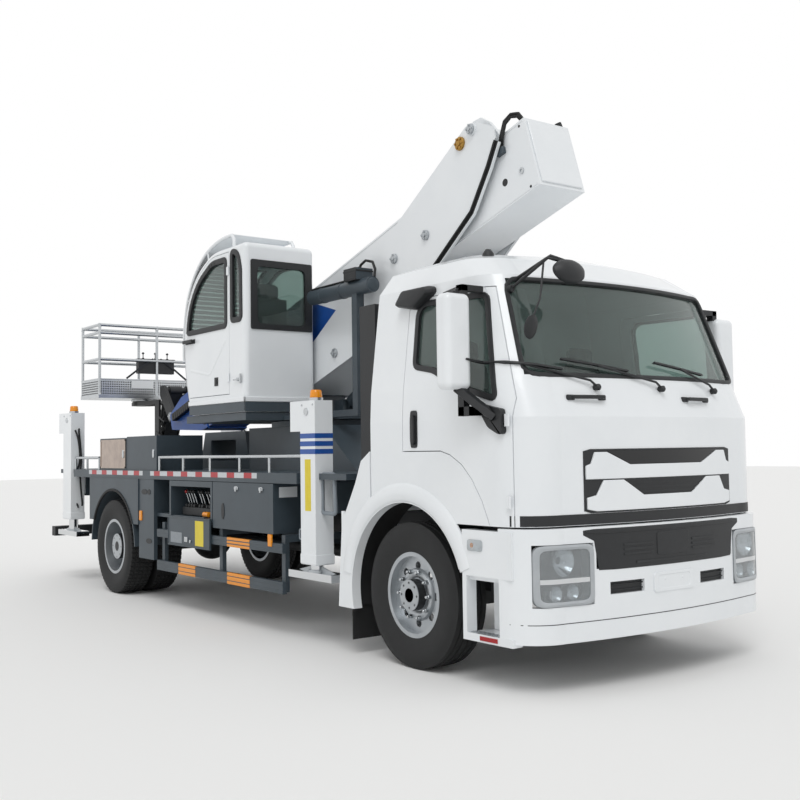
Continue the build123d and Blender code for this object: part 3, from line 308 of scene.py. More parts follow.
def around(shape, centre, count, start=0.0):
    """Copies of one shape turned evenly about a Y line through centre."""
    points, faces = shape
    centre = np.asarray(centre)
    copies = []
    for turn_angle in start + np.arange(count) * 2 * np.pi / count:
        c, s = np.cos(turn_angle), np.sin(turn_angle)
        spin = np.array(((c, 0, -s), (0, 1, 0), (s, 0, c)))
        copies.append(((np.asarray(points) - centre) @ spin.T + centre, faces))
    return copies


def hub_set(name, axle_x, face_y, side, body, hub_r, reach):
    """A dish ring, nuts and studs, and a domed cap on one wheel's outer face."""
    centre = np.array((axle_x, 0.0, WHEEL_R))
    dish = [(0.118, 0.004), (0.135, 0.022), (0.160, 0.026), (0.178, 0.020), (0.188, 0.002),
            (0.190, -0.004), (0.118, -0.004)]
    dish = [(r, face_y + side * (0.010 + h)) for r, h in dish]
    piece(name + "_dish", [turned(dish, centre, steps=64, closed=True)], silver, body)
    nut = turned([(0.0165, face_y + side * 0.034), (0.0165, face_y + side * 0.056),
                  (0.013, face_y + side * 0.060)], centre + (NUT_CIRCLE_R, 0, 0), steps=6)
    stud = turned([(0.0105, face_y + side * 0.03), (0.0105, face_y + side * 0.074),
                   (0.008, face_y + side * 0.077)], centre + (NUT_CIRCLE_R, 0, 0), steps=12)
    piece(name + "_nuts", around(nut, centre, NUTS) + around(stud, centre, NUTS), stainless, body)
    tip = face_y + side * reach
    cap = [(hub_r, tip - side * 0.07), (hub_r, tip - side * 0.006), (hub_r - 0.012, tip - side * 0.001),
           (0.058, tip - side * 0.001), (0.05, tip), (0.001, tip)]
    bolts = turned([(0.009, tip - side * 0.008), (0.009, tip)], centre + (hub_r - 0.022, 0, 0), steps=6)
    piece(name + "_cap", [turned(cap, centre, steps=48)] + around(bolts, centre, 8), plastic, body)


for side_name, side in SIDES:
    hub_set("front_hub_" + side_name, FRONT_AXLE_X, side * (FRONT_HALF_TRACK + 0.060), side,
            "front_wheel_" + side_name, 0.111, 0.095)
    hub_set("rear_hub_" + side_name, REAR_AXLE_X, side * (REAR_OUTER_Y - 0.100), side,
            "rear_wheels_" + side_name, 0.141, 0.1935)

# ---------------------------------------------------------- cab front glass
# A laminated windscreen bonded in a black rubber surround, with three wipers
# on a shared linkage whose pivots stand in the scuttle below the glass.
CAB_ROWS = np.array((
    (1.060, 1.220, 4.548, 0.300, 0.090), (1.760, 1.222, 4.548, 0.300, 0.090),
    (1.980, 1.212, 4.470, 0.300, 0.100), (2.730, 1.128, 4.190, 0.250, 0.110),
    (2.880, 1.040, 4.000, 0.250, 0.130), (2.975, 0.760, 3.700, 0.250, 0.130)))


def cab_front_x(y, z):
    """Forward reach of the cab's skin at side distance y and height z: a flat arc, then round corners."""
    y, z = np.abs(np.asarray(y, float)), np.asarray(z, float)
    half, front, corner, crown = (np.interp(z, CAB_ROWS[:, 0], CAB_ROWS[:, i]) for i in (1, 2, 3, 4))
    flat = half - corner
    arc_r = (flat ** 2 + crown ** 2) / (2 * crown)
    on_arc = front - arc_r + np.sqrt(np.maximum(arc_r ** 2 - y ** 2, 0))
    past = np.clip(y - flat, 0, corner)
    on_corner = front - crown - corner + np.sqrt(np.maximum(corner ** 2 - past ** 2, 0))
    return np.where(y <= flat, on_arc, on_corner)


def on_cab(yz, proud):
    """Points on the cab's front skin, raised by proud, from (y, z) pairs."""
    yz = np.asarray(yz, float)
    return np.column_stack([cab_front_x(yz[:, 0], yz[:, 1]) + proud, yz[:, 0], yz[:, 1]])


def refine(points, step, closed=False):
    """More points along straight runs, evenly spaced by about one step."""
    points = np.asarray(points, float)
    ends = np.roll(points, -1, axis=0) if closed else points[1:]
    runs = []
    for a, b in zip(points, ends):
        count = max(2, int(np.ceil(np.linalg.norm(b - a) / step)) + 1)
        runs.append(a + (b - a) * np.linspace(0, 1, count)[:-1, None])
    if not closed:
        runs.append(points[-1:])
    return np.concatenate(runs)


def swept(path, section, sideways, closed=False):
    """A flat section of (out, across) points carried along a path, out lying along sideways."""
    path = np.asarray(path, float)
    ahead = np.roll(path, -1, axis=0) - np.roll(path, 1, axis=0) if closed else np.gradient(path, axis=0)
    ahead /= np.linalg.norm(ahead, axis=1)[:, None]
    out = np.asarray(sideways, float) + 0 * path
    out = out - (out * ahead).sum(1)[:, None] * ahead
    out /= np.linalg.norm(out, axis=1)[:, None]
    across = np.cross(ahead, out)
    section = np.asarray(section, float)
    points = path[:, None] + section[None, :, :1] * out[:, None] + section[None, :, 1:] * across[:, None]
    count = len(section)
    faces = grid_faces(len(path), count, wrap_rows=closed, wrap_cols=True)
    if not closed:
        faces += [tuple(range(count)), tuple(range((len(path) - 1) * count, len(path) * count))]
    return points.reshape(-1, 3), faces


def pipe(path, radius, sideways=(0, 0, 1), sides=10, closed=False):
    """A round section of one radius carried along a path."""
    angle = np.linspace(0, 2 * np.pi, sides, endpoint=False)
    return swept(path, np.column_stack([radius * np.cos(angle), radius * np.sin(angle)]), sideways, closed)


def prism(outline, axis, low, high):
    """An outline in the two axes other than axis, given a thickness from low to high."""
    outline = np.asarray(outline, float)
    count = len(outline)
    ends = []
    for value in (low, high):
        flat = np.full(count, value)
        order = {"X": (flat, outline[:, 0], outline[:, 1]), "Y": (outline[:, 0], flat, outline[:, 1]),
                 "Z": (outline[:, 0], outline[:, 1], flat)}[axis]
        ends.append(np.column_stack(order))
    faces = [tuple(range(count)), tuple(range(count, 2 * count))]
    faces += [(i, (i + 1) % count, count + (i + 1) % count, count + i) for i in range(count)]
    return np.concatenate(ends), faces


def brick(low, high):
    """A square-edged block between two corners."""
    return prism([(low[0], low[1]), (high[0], low[1]), (high[0], high[1]), (low[0], high[1])], "Z",
                 low[2], high[2])


def bricks(*corners):
    """Square-edged blocks, each between its two corners."""
    return [brick(low, high) for low, high in corners]


def rounded(outline, radius, steps=5):
    """An outline with each corner replaced by a curve that starts radius away from it."""
    outline = np.asarray(outline, float)
    before, after = np.roll(outline, 1, axis=0) - outline, np.roll(outline, -1, axis=0) - outline
    before *= (radius / np.linalg.norm(before, axis=1))[:, None]
    after *= (radius / np.linalg.norm(after, axis=1))[:, None]
    t = np.linspace(0, 1, steps)[None, :, None]
    curve = outline[:, None] + before[:, None] * (1 - t) ** 2 + after[:, None] * t ** 2
    return curve.reshape(-1, 2)


SEAL = ((0.000, -0.016), (0.008, -0.012), (0.010, 0.0), (0.008, 0.012), (0.0, 0.016), (-0.03, 0.016),
        (-0.03, -0.016))
screen = refine(rounded(((-1.077, 2.035), (1.077, 2.035), (1.010, 2.700), (-1.010, 2.700)), 0.09), 0.06, True)
piece("windscreen_seal", [swept(on_cab(screen, 0.0), SEAL, (1, 0, 0.35), closed=True)], plastic)

WIPER_PIVOTS = ((-0.58, 0.50), (0.02, 0.55), (0.66, 0.36))
wipers = []
for pivot_y, blade_y in WIPER_PIVOTS:
    start = on_cab([(pivot_y, 1.955)], 0.02)[0]
    hinge = on_cab([(pivot_y - 0.05, 2.00)], 0.035)[0]
    tip = on_cab([(pivot_y - blade_y, 2.105)], 0.030)[0]
    wipers.append(turned([(0.022, -0.015), (0.022, 0.02), (0.012, 0.03)], start, "X", 16))
    wipers.append(pipe(refine([start + (0.01, 0, 0), hinge, tip], 0.2), 0.008))
    blade = np.linspace(-0.27, 0.27, 12)
    at_y = pivot_y - blade_y + blade
    at_z = 2.105 + blade * -0.13
    wipers.append(swept(on_cab(np.column_stack([at_y, at_z]), 0.016),
                        ((0.014, -0.007), (0.014, 0.007), (0.002, 0.004), (-0.010, 0.002), (-0.010, -0.002),
                         (0.002, -0.004)), (1, 0, 0.35)))
piece("wipers", wipers, plastic)

# --------------------------------------------------------------- cab mirrors
# Folding mirror heads of moulded ABS: tall white shells with the glass in
# the rear face, on black arms that turn with the doors.


def squircle(centre, half, count=40, power=0.35):
    """A rounded-rectangle ring about centre: cosines and sines raised to a low power, times half sizes."""
    angle = np.linspace(0, 2 * np.pi, count, endpoint=False)
    a, b = np.cos(angle), np.sin(angle)
    return np.column_stack([centre[0] + half[0] * np.sign(a) * np.abs(a) ** power,
                            centre[1] + half[1] * np.sign(b) * np.abs(b) ** power])


def stacked(rings):
    """A closed skin through equal rings of points, with both ends filled."""
    rings = np.stack([np.asarray(ring, float) for ring in rings])
    count, size = rings.shape[:2]
    faces = grid_faces(count, size, wrap_cols=True)
    return rings.reshape(-1, 3), faces + [tuple(range(size)), tuple(range((count - 1) * size, count * size))]


def cab_side_y(x, z):
    """Half width of the cab's skin at x and z: flat sides, then the round front corners."""
    x, z = np.asarray(x, float), np.asarray(z, float)
    half, front, corner, crown = (np.interp(z, CAB_ROWS[:, 0], CAB_ROWS[:, i]) for i in (1, 2, 3, 4))
    past = np.clip(x - (front - crown - corner), 0, corner)
    return half - corner + np.sqrt(corner ** 2 - past ** 2)


def slab(x_range, y_range, z_range, side):
    """A block between ranges, with its Y range mirrored to one side."""
    ys = sorted((side * y_range[0], side * y_range[1]))
    return brick((x_range[0], ys[0], z_range[0]), (x_range[1], ys[1], z_range[1]))


HOOD_MIDDLE = np.array((3.27, 2.65))
ARM_X, ARM_Y = (3.935, 3.995), (1.285, 1.335)
FAIRING = ((0.028, -0.05), (0.045, 0.0), (0.028, 0.05), (-0.028, 0.06), (-0.04, 0.0), (-0.028, -0.06))
for side_name, side in SIDES:
    door = "cab_door_" + side_name
    for layer, half, x_range, finish in (("face", (0.066, 0.276), (3.8985, 3.9015), chrome),
                                         ("rim", (0.074, 0.285), (3.8993, 3.9040), plastic)):
        ring = squircle((side * 1.395, 2.260), half)
        piece("mirror_" + layer + "_" + side_name, [stacked([facing(ring, x) for x in x_range])], finish,
              door)
    upper = refine([(3.60, side * 1.150, 2.635), (3.82, side * 1.215, 2.640), (3.96, side * 1.33, 2.600)],
                   0.05)
    lower = refine([(4.17, side * 1.225, 1.760), (4.09, side * 1.290, 1.840), (3.97, side * 1.365, 1.955)],
                   0.05)
    foot = [(4.035, 1.815), (4.075, 1.850), (4.250, 1.812), (4.258, 1.655), (4.225, 1.650), (4.125, 1.697)]
    hood = [(3.050, 2.607), (3.150, 2.716), (3.462, 2.716), (3.485, 2.668), (3.290, 2.560)]
    hood_rings = [upright((rounded(hood, 0.03, 4) - HOOD_MIDDLE) * size + HOOD_MIDDLE, side * y)
                  for size, y in ((1.0, 1.120), (1.0, 1.175), (0.86, 1.215), (0.70, 1.222))]
    sleeves = [slab(*ranges, side) for ranges in
               (((4.045, 4.105), (1.200, 1.335), (1.775, 1.835)), ((ARM_X[0], 4.105), ARM_Y, (1.775, 1.835)),
                (ARM_X, ARM_Y, (1.775, 1.970)), (ARM_X, (1.150, 1.335), (2.599, 2.640)),
                (ARM_X, ARM_Y, (2.560, 2.640)))]
    piece("mirror_arms_" + side_name,
          [swept(upper, np.array(FAIRING) * 0.45, (0, 0, 1)),
           swept(lower, np.array(FAIRING) * 0.8, (0, 0, 1)),
           prism(rounded(foot, 0.02, 4), "Y", *sorted((side * 1.205, side * 1.248))), stacked(hood_rings)]
           + sleeves,
          plastic, door, bevel=0.006, angle=50)

# The round close-view mirror hangs before the screen on two black tubes from
# the roof's right corner; a small one hangs below on a bent rod.
disc_at = np.array((4.44, -0.785, 2.712))


def oval_dome(centre, size, tilt):
    """A shallow dome turned about X, stretched to size, then leaned by tilt about Y."""
    dome = [(0.001, 0.30), (0.5, 0.26), (0.82, 0.16), (1.0, 0.0), (0.97, -0.17), (0.001, -0.24)]
    points, faces = turned(dome, (0, 0, 0), "X", 40)
    points = points * (size[2], size[0], size[1])
    lean = np.array(((np.cos(tilt), 0, -np.sin(tilt)), (0, 1, 0), (np.sin(tilt), 0, np.cos(tilt))))
    return points @ lean.T + centre, faces


foot = on_cab([(-1.00, 2.62), (-0.93, 2.70), (-0.985, 2.56)], 0.004)
mirror_rig = [oval_dome(disc_at, (0.135, 0.085, 0.16), 0.35),
              pipe(refine([foot[0], (4.36, -0.905, 2.80), disc_at + (-0.02, 0.02, 0.055)], 0.05), 0.011),
              pipe(refine([foot[1], (4.36, -0.880, 2.815), disc_at + (-0.02, 0.02, 0.06)], 0.05), 0.011),
              pipe(refine([(4.33, -0.915, 2.775), (4.40, -1.02, 2.52), (4.385, -1.07, 2.40)], 0.05), 0.007),
              oval_dome(np.array((4.37, -1.075, 2.335)), (0.055, 0.080, 0.06), -0.25),
              turned([(0.026, -0.03), (0.03, 0.0), (0.022, 0.02)], foot[0], "X", 16),
              turned([(0.001, 0.085), (0.02, 0.082), (0.042, 0.05), (0.046, 0.0), (0.046, -0.03)],
                     (3.62, -0.77, 2.905), "Z", 24)]
piece("front_mirrors", mirror_rig, plastic, angle=50)

# -------------------------------------------------------- cab doors and trim
# Rubber channels run round the sliding door glass; the handles are upright
# black pulls in a shallow dish, and a clear lamp with an amber bulb repeats
# the indicator on the wing behind the bumper.
DOOR_WINDOW = ((3.285, 2.150), (3.510, 2.110), (3.740, 1.995), (4.165, 1.880), (3.992, 2.590),
               (3.340, 2.600), (3.280, 2.540))
PULL_MIDDLE, WING_LAMP_MIDDLE = np.array((3.305, 1.7)), np.array((3.962, 0.93))
TRIM = ((0.006, -0.020), (0.009, 0.0), (0.006, 0.020), (-0.025, 0.020), (-0.025, -0.020))
for side_name, side in SIDES:
    door = "cab_door_" + side_name
    frame_line = refine(rounded(DOOR_WINDOW, 0.045), 0.05, True)
    frame_path = upright(frame_line, side * cab_side_y(frame_line[:, 0], frame_line[:, 1]))
    dish_ring, pull_ring = squircle((3.305, 1.705), (0.040, 0.132)), squircle(PULL_MIDDLE, (0.020, 0.105))
    handle = [stacked([upright(ring, side * y) for ring, y in
                       ((dish_ring, 1.215), (dish_ring, 1.227), (pull_ring, 1.2275), (pull_ring, 1.2435),
                        (0.9 * (pull_ring - PULL_MIDDLE) + PULL_MIDDLE, 1.246))])]
    piece("door_trim_" + side_name, [swept(frame_path, TRIM, (0, side, 0), closed=True)] + handle,
          plastic, door, angle=50)
    lamp_ring = squircle(WING_LAMP_MIDDLE, (0.075, 0.038))
    lamp_skin = [upright(ring, side * y) for ring, y in
                 ((lamp_ring, 1.229), (lamp_ring, 1.240),
                  (0.9 * (lamp_ring - WING_LAMP_MIDDLE) + WING_LAMP_MIDDLE, 1.2445))]
    piece("wing_lamp_" + side_name, [stacked(lamp_skin)], clear_lens)
    piece("wing_lamp_bulb_" + side_name,
          [turned([(0.001, side * 1.230), (0.017, side * 1.232), (0.015, side * 1.2395), (0.001, side * 1.241)],
                  (3.935, 0, 0.930), "Y", 16)], amber_lens)

# Pressed lips stand proud round the front wheel openings, with a black liner
# and a rubber flap behind the wheel, and a rubber edge finishes each rear wing.


def wheel_arc(axle_x, radius, y, start, end):
    """Points on an arc about a wheel's centre, between two angles in degrees."""
    sweep = np.radians(np.linspace(start, end, 40))
    return upright(np.column_stack([axle_x + radius * np.cos(sweep), WHEEL_R + radius * np.sin(sweep)]), y)


LIP = ((-0.010, -0.068), (0.006, -0.066), (0.018, -0.050), (0.020, 0.040), (0.000, 0.066), (-0.010, 0.066))
LINER = ((-0.150, -0.002), (0.150, -0.002), (0.150, 0.002), (-0.150, 0.002))
WING_EDGE = ((-0.012, -0.012), (0.006, -0.012), (0.010, 0.0), (0.006, 0.016), (-0.012, 0.016))
for side_name, side in SIDES:
    outward = (0, side, 0)
    lip = wheel_arc(FRONT_AXLE_X, 0.735, side * 1.2225, 19, 171)
    piece("front_wing_lip_" + side_name, [swept(lip, LIP, outward)], white, angle=50)
    liner = wheel_arc(FRONT_AXLE_X, 0.694, side * 1.050, 24, 192)
    flap = slab((2.462, 2.472), (0.90, 1.20), (0.120, 0.600), side)
    piece("arch_liner_" + side_name, [swept(liner, LINER, outward), flap], rubber, angle=50)
    wing_edge = wheel_arc(REAR_AXLE_X, 0.634, side * 1.233, 26, 154)
    piece("rear_wing_edge_" + side_name, [swept(wing_edge, WING_EDGE, outward)], rubber, angle=50)

# ------------------------------------------------------------------ cab nose
# A black moulded grille panel carries two white winged bars; black mesh and a
# smoked strip show between them, and the lamp band of the bumper lies below.


def bumper_front_x(y, z):
    """Forward reach of the bumper's face at side distance y: a flat arc, then round corners."""
    y = np.abs(np.asarray(y, float))
    flat, corner, crown, front = 0.945, 0.290, 0.090, 4.580
    arc_r = (flat ** 2 + crown ** 2) / (2 * crown)
    past = np.clip(y - flat, 0, corner)
    on_arc = front - arc_r + np.sqrt(np.maximum(arc_r ** 2 - y ** 2, 0))
    return np.where(y <= flat, on_arc, front - crown - corner
                    + np.sqrt(np.maximum(corner ** 2 - past ** 2, 0)))


def skin_panel(surface, edge_y, low, high, proud, thick, steps=48, rows=5):
    """A slab that lies on a curved front: edge heights read at |y|, the depth taken from the surface."""
    edge_y = np.asarray(edge_y, float)
    y = np.unique(np.concatenate([np.linspace(-edge_y[-1], edge_y[-1], steps), edge_y, -edge_y]))
    z0, z1 = np.interp(np.abs(y), edge_y, low), np.interp(np.abs(y), edge_y, high)
    z = z0[:, None] + (z1 - z0)[:, None] * np.linspace(0, 1, rows)[None, :]
    across = y[:, None] + 0 * z
    x = surface(across, z)
    front = np.stack([x + proud, across, z], axis=-1).reshape(-1, 3)
    back = np.stack([x + proud - thick, across, z], axis=-1).reshape(-1, 3)
    count = len(front)
    cells = grid_faces(len(y), rows)
    rim = list(range(rows)) + [i * rows + rows - 1 for i in range(1, len(y))]
    rim += [(len(y) - 1) * rows + j for j in range(rows - 2, -1, -1)]
    rim += [i * rows for i in range(len(y) - 2, 0, -1)]
    faces = cells + [tuple(i + count for i in cell) for cell in cells]
    faces += [(a, b, b + count, a + count) for a, b in zip(rim, rim[1:] + rim[:1])]
    return np.concatenate([front, back]), faces


def bumper_panel(middle_y, half, low, high, proud, thick, steps=12):
    """A panel of even height on the bumper's face, from middle_y - half to middle_y + half."""
    points, faces = skin_panel(lambda y, z: bumper_front_x(y + middle_y, z), (0, half), (low, low),
                               (high, high), proud, thick, steps=steps)
    return points + (0, middle_y, 0), faces


piece("grille_panel",
      [skin_panel(cab_front_x, (0, 0.70, 0.755), (1.135, 1.135, 1.150), (1.548, 1.548, 1.535), 0.004, 0.010),
       skin_panel(cab_front_x, (0, 1.16, 1.20), (1.064, 1.064, 1.064), (1.132, 1.132, 1.132), 0.003, 0.006)]
      + [skin_panel(cab_front_x, (0, 0.40), (z, z), (z + 0.012, z + 0.012), 0.008, 0.010)
         for z in (1.255, 1.285, 1.315)],
      plastic)
piece("grille_smoked_strip",
      [skin_panel(cab_front_x, (0, 0.37, 0.56), (1.448, 1.448, 1.530), (1.536, 1.536, 1.536), 0.009, 0.006)],
      finish_of("piano black", "#0C0D0F", Roughness=0.12))
piece("grille_bars",
      [skin_panel(cab_front_x, (0, 0.37, 0.57, 0.67, 0.70, 0.742), (1.353, 1.353, 1.353, 1.353, 1.353, 1.353),
                  (1.444, 1.444, 1.528, 1.528, 1.455, 1.440), 0.016, 0.016),
       skin_panel(cab_front_x, (0, 0.25, 0.43, 0.60, 0.66, 0.735), (1.146, 1.146, 1.146, 1.146, 1.146, 1.160),
                  (1.240, 1.240, 1.345, 1.345, 1.250, 1.235), 0.016, 0.016)],
      white, bevel=0.004, angle=40)

# Two grab handles for cleaning the screen, each a flat loop on two feet.
grabs = []
GRAB_Z = 1.885
for left_y, right_y in ((-0.82, -0.53), (0.25, 0.54)):
    ends = on_cab([(left_y, GRAB_Z), (right_y, GRAB_Z)], 0.0)
    lift = np.array((0.035, 0, 0.004))
    bar_path = refine([ends[0] + (0, 0.015, 0), ends[0] + lift + (0, 0.03, 0), ends[1] + lift - (0, 0.03, 0),
                       ends[1] - (0, 0.015, 0)], 0.04)
    grabs.append(swept(bar_path, ((0.010, -0.006), (0.012, 0.0), (0.010, 0.006), (-0.012, 0.006),
                                  (-0.014, 0.0), (-0.012, -0.006)), (0, 0, 1)))
    for at_y in (left_y + 0.02, right_y - 0.02):
        grabs.append(stacked([facing(squircle((at_y, GRAB_Z), (0.034 * s, 0.019 * s)),
                                     on_cab([(at_y, GRAB_Z)], proud)[0, 0])
                              for proud, s in ((-0.004, 1.0), (0.010, 0.95), (0.018, 0.7))]))
piece("grab_handles", grabs, plastic, angle=50)

# -------------------------------------------------------------------- bumper
# A steel bumper painted white with a black moulded centre, slats behind its
# openings, a blank centre plate, and a blank number-plate holder below.
piece("bumper_centre",
      [skin_panel(bumper_front_x, (0, 0.55, 0.68, 0.715, 0.80), (0.768, 0.768, 0.772, 0.960, 1.000),
                  (1.036, 1.036, 1.036, 1.036, 1.030), 0.003, 0.014),
       skin_panel(bumper_front_x, (0, 0.70, 0.78), (1.004, 1.004, 1.012), (1.030, 1.030, 1.024), 0.007,
                  0.010),
       skin_panel(bumper_front_x, (0, 0.145, 0.165), (0.835, 0.835, 0.845), (0.992, 0.992, 0.985), 0.007,
                  0.010)],
      plastic, bevel=0.003, angle=40)
slats = [bumper_panel(y, 0.135, z, z + 0.016, 0.007, 0.010) for y in (-0.335, 0.335)
         for z in (0.915, 0.885, 0.855)]
slats.append(skin_panel(bumper_front_x, (0, 0.36), (0.795, 0.795), (0.812, 0.812), 0.007, 0.010))
slats += [bumper_panel(y, 0.153, low, high, proud, 0.008) for y in (-0.440, 0.440)
          for low, high, proud in ((0.606, 0.694, -0.026), (0.630, 0.636, -0.014), (0.664, 0.670, -0.014))]
piece("bumper_slats", slats, chassis_black, bevel=0.002, angle=40)
plate_ring = rounded([(-0.205, 0.592), (0.205, 0.592), (0.205, 0.722), (-0.205, 0.722)], 0.025, 6)
plate_inner = rounded([(-0.165, 0.612), (0.165, 0.612), (0.165, 0.702), (-0.165, 0.702)], 0.02, 6)
piece("plate_holder",
      [stacked([facing(ring, x) for ring, x in
                ((plate_ring, 4.574), (plate_ring, 4.585), (plate_inner, 4.585), (plate_inner, 4.5815))])]
      + [turned([(0.010, 0.0), (0.010, 0.004), (0.006, 0.006)], (4.578, y, 0.672), "X", 12)
         for y in (-0.09, 0.09)],
      white, bevel=0.002, angle=40)
seam = skin_panel(bumper_front_x, (0, 1.225), (0.452, 0.452), (0.457, 0.457), 0.0012, 0.004, steps=80, rows=2)
piece("bumper_seam", [seam], chassis_black)

# Each headlamp: a satin silver surround, a bowl with a halogen bulb above,
# two small reflectors below, a bright bar between, under one clear cover.
LAMP_Y, LAMP_Z = 0.935, 0.755
BOWL_STEPS = (0.10, 0.25, 0.45, 0.65, 0.82, 0.94, 1.0)


def on_bumper(ring, proud):
    """A ring of (y, z) points laid on the bumper's face, raised by proud."""
    return np.column_stack([bumper_front_x(ring[:, 0], 0) + proud, ring[:, 0], ring[:, 1]])


for side_name, side in SIDES:
    mid_y = side * LAMP_Y
    outer = squircle((mid_y, LAMP_Z), (0.212, 0.192), 64, 0.22)
    inner = squircle((mid_y, LAMP_Z), (0.180, 0.162), 64, 0.22)
    rings = [on_bumper(outer, -0.012), on_bumper(outer, 0.008), on_bumper(0.5 * (outer + inner), 0.012),
             on_bumper(inner, 0.006), on_bumper(inner, -0.070)]
    piece("lamp_surround_" + side_name, [(np.concatenate(rings), grid_faces(5, 64, wrap_cols=True))], silver,
          angle=35)
    back = [on_bumper(inner, -0.070), on_bumper(0.5 * (inner + (mid_y, LAMP_Z)), -0.085)]
    piece("lamp_back_" + side_name, [(np.concatenate(back),
                                      grid_faces(2, 64, wrap_cols=True) + [tuple(range(64, 128))])],
          plastic, angle=35)
    bowl_x = float(bumper_front_x(np.array(mid_y), 0))
    bowls = []
    for bowl_y, bowl_z, bowl_r in ((mid_y, 0.838, 0.088), (mid_y - 0.075, 0.640, 0.050),
                                   (mid_y + 0.075, 0.640, 0.050)):
        depth = bowl_r * 0.75
        profile = [(bowl_r * s, -0.020 - depth * (1 - s * s)) for s in BOWL_STEPS]
        profile += [(bowl_r * 1.04, -0.020), (bowl_r * 1.04, -0.030 - depth)]
        bowls.append(turned(profile, (bowl_x, bowl_y, bowl_z), "X", 40))
        bulb = [(0.001, -0.012), (bowl_r * 0.16, -0.016), (bowl_r * 0.16, -0.045)]
        bowls.append(turned(bulb, (bowl_x, bowl_y, bowl_z), "X", 16))
    bowls.append(bumper_panel(mid_y, 0.178, 0.706, 0.736, 0.004, 0.040))
    piece("lamp_bowls_" + side_name, bowls, chrome, angle=40)
lenses = [bumper_panel(side * LAMP_Y, 0.181, 0.594, 0.916, 0.003, 0.004, 20) for side in (-1, 1)]
made = piece("lamp_covers", lenses, clear_lens)
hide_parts("headlamps")

# Boarding step: a checkered aluminium tread in the pocket, a white back wall,
# and a short red reflector on the valance under it.


def chequer(x_range, y_range, pitch, half, lean, rise, z_range, y_side=1):
    """Raised lozenges in rows, each leaning the other way than its neighbours."""
    studs = []
    for i, x in enumerate(np.arange(*x_range, pitch)):
        for j, y in enumerate(y_side * np.arange(*y_range, pitch)):
            tilt = lean if (i + j) % 2 else -lean
            studs.append(prism([(x - half, y - tilt), (x, y - tilt - rise), (x + half, y + tilt),
                                (x, y + tilt + rise)], "Z", *z_range))
    return studs


for side_name, side in SIDES:
    tread = [slab((3.875, 4.225), (1.155, 1.232), (0.357, 0.361), side)]
    tread += chequer((3.885, 4.215), (1.165, 1.225), 0.022, 0.008, 0.007, 0.002, (0.360, 0.3635), side)
    piece("step_tread_" + side_name, tread, stainless)
    piece("step_reflector_" + side_name, [slab((4.00, 4.17), (1.2345, 1.2395), (0.322, 0.350), side)],
          red_lens, bevel=0.001)
    piece("step_back_" + side_name, [slab((3.872, 4.218), (0.985, 0.997), (0.352, 0.698), side)], white)

# ------------------------------------------------------------ deck and sides
# Retroreflective tape runs along the deck's edge in red and white blocks;
# amber sleeves of the same film are wrapped round the guard rails.
red_tape = finish_of("red reflective film", "#B51E2B", "#A51824", 8, 0.6, 0.2, 3.0, Roughness=0.3)
pale_tape = finish_of("pale reflective film", "#C9CDD0", "#BCC0C4", 8, 0.6, 0.2, 3.0, Roughness=0.3)
amber_tape = finish_of("amber reflective film", "#EE9A26", "#E48C1B", 8, 0.6, 0.2, 3.0, Roughness=0.35)

TAPE_Y, TAPE_Z = (1.2195, 1.2215), (1.328, 1.376)
for side_name, side in SIDES:
    reds, pales = [], []
    for start, count, pitch in ((-3.02, 5, 0.315), (-1.22, 7, 0.330)):
        pales.append(slab((start - 0.10, start + (count - 1) * pitch + 0.24), (1.219, 1.2205), TAPE_Z, side))
        reds += [slab((start + i * pitch, start + i * pitch + 0.145), TAPE_Y, TAPE_Z, side)
                 for i in range(count)]
    piece("tape_red_" + side_name, reds, red_tape)
    piece("tape_pale_" + side_name, pales, pale_tape)
    wraps = []
    rib = np.linspace(0, 1, 25)
    for x_low, x_high, z_low, z_high in ((-0.62, -0.24, 0.360, 0.460), (0.43, 0.86, 0.360, 0.460),
                                         (0.43, 0.86, 0.700, 0.780)):
        out = 1.2215 + 0.0015 * (np.cos(rib * 6 * np.pi) < 0.2)
        z = z_low - 0.002 + (z_high - z_low + 0.004) * rib
        ring = np.concatenate([np.column_stack([side * out, z]),
                               [(side * 1.196, z[-1]), (side * 1.196, z[0])]])
        wraps.append(prism(ring, "X", x_low, x_high))
    piece("guard_wraps_" + side_name, wraps, amber_tape)
    # Small side marker lamps in amber, on the panel and on the box.
    markers = [slab((x - 0.032, x + 0.032), (1.214, 1.232), (z - 0.052, z + 0.052), side)
               for x, z in ((1.235, 0.80), (-1.560, 0.90))]
    piece("side_markers_" + side_name, markers, amber_lens, bevel=0.005)
    rails = [slab((-1.14, 1.435), (1.2185, 1.2225), (z - 0.008, z + 0.008), side)
             for z in (0.385, 0.435, 0.722, 0.758)]
    piece("guard_beads_" + side_name, rails, slate, bevel=0.003)

# Box fittings: an oval grommet, pressed latches, hinge straps, a chequered
# polished door on the tall locker, and blank rating plates.


def oval(centre, half, y_range, side, power=1.0):
    """An upright oval disc on the lorry's side between two distances from the middle."""
    ring = squircle(centre, half, 32, power)
    return stacked([upright(ring, side * y) for y in y_range])


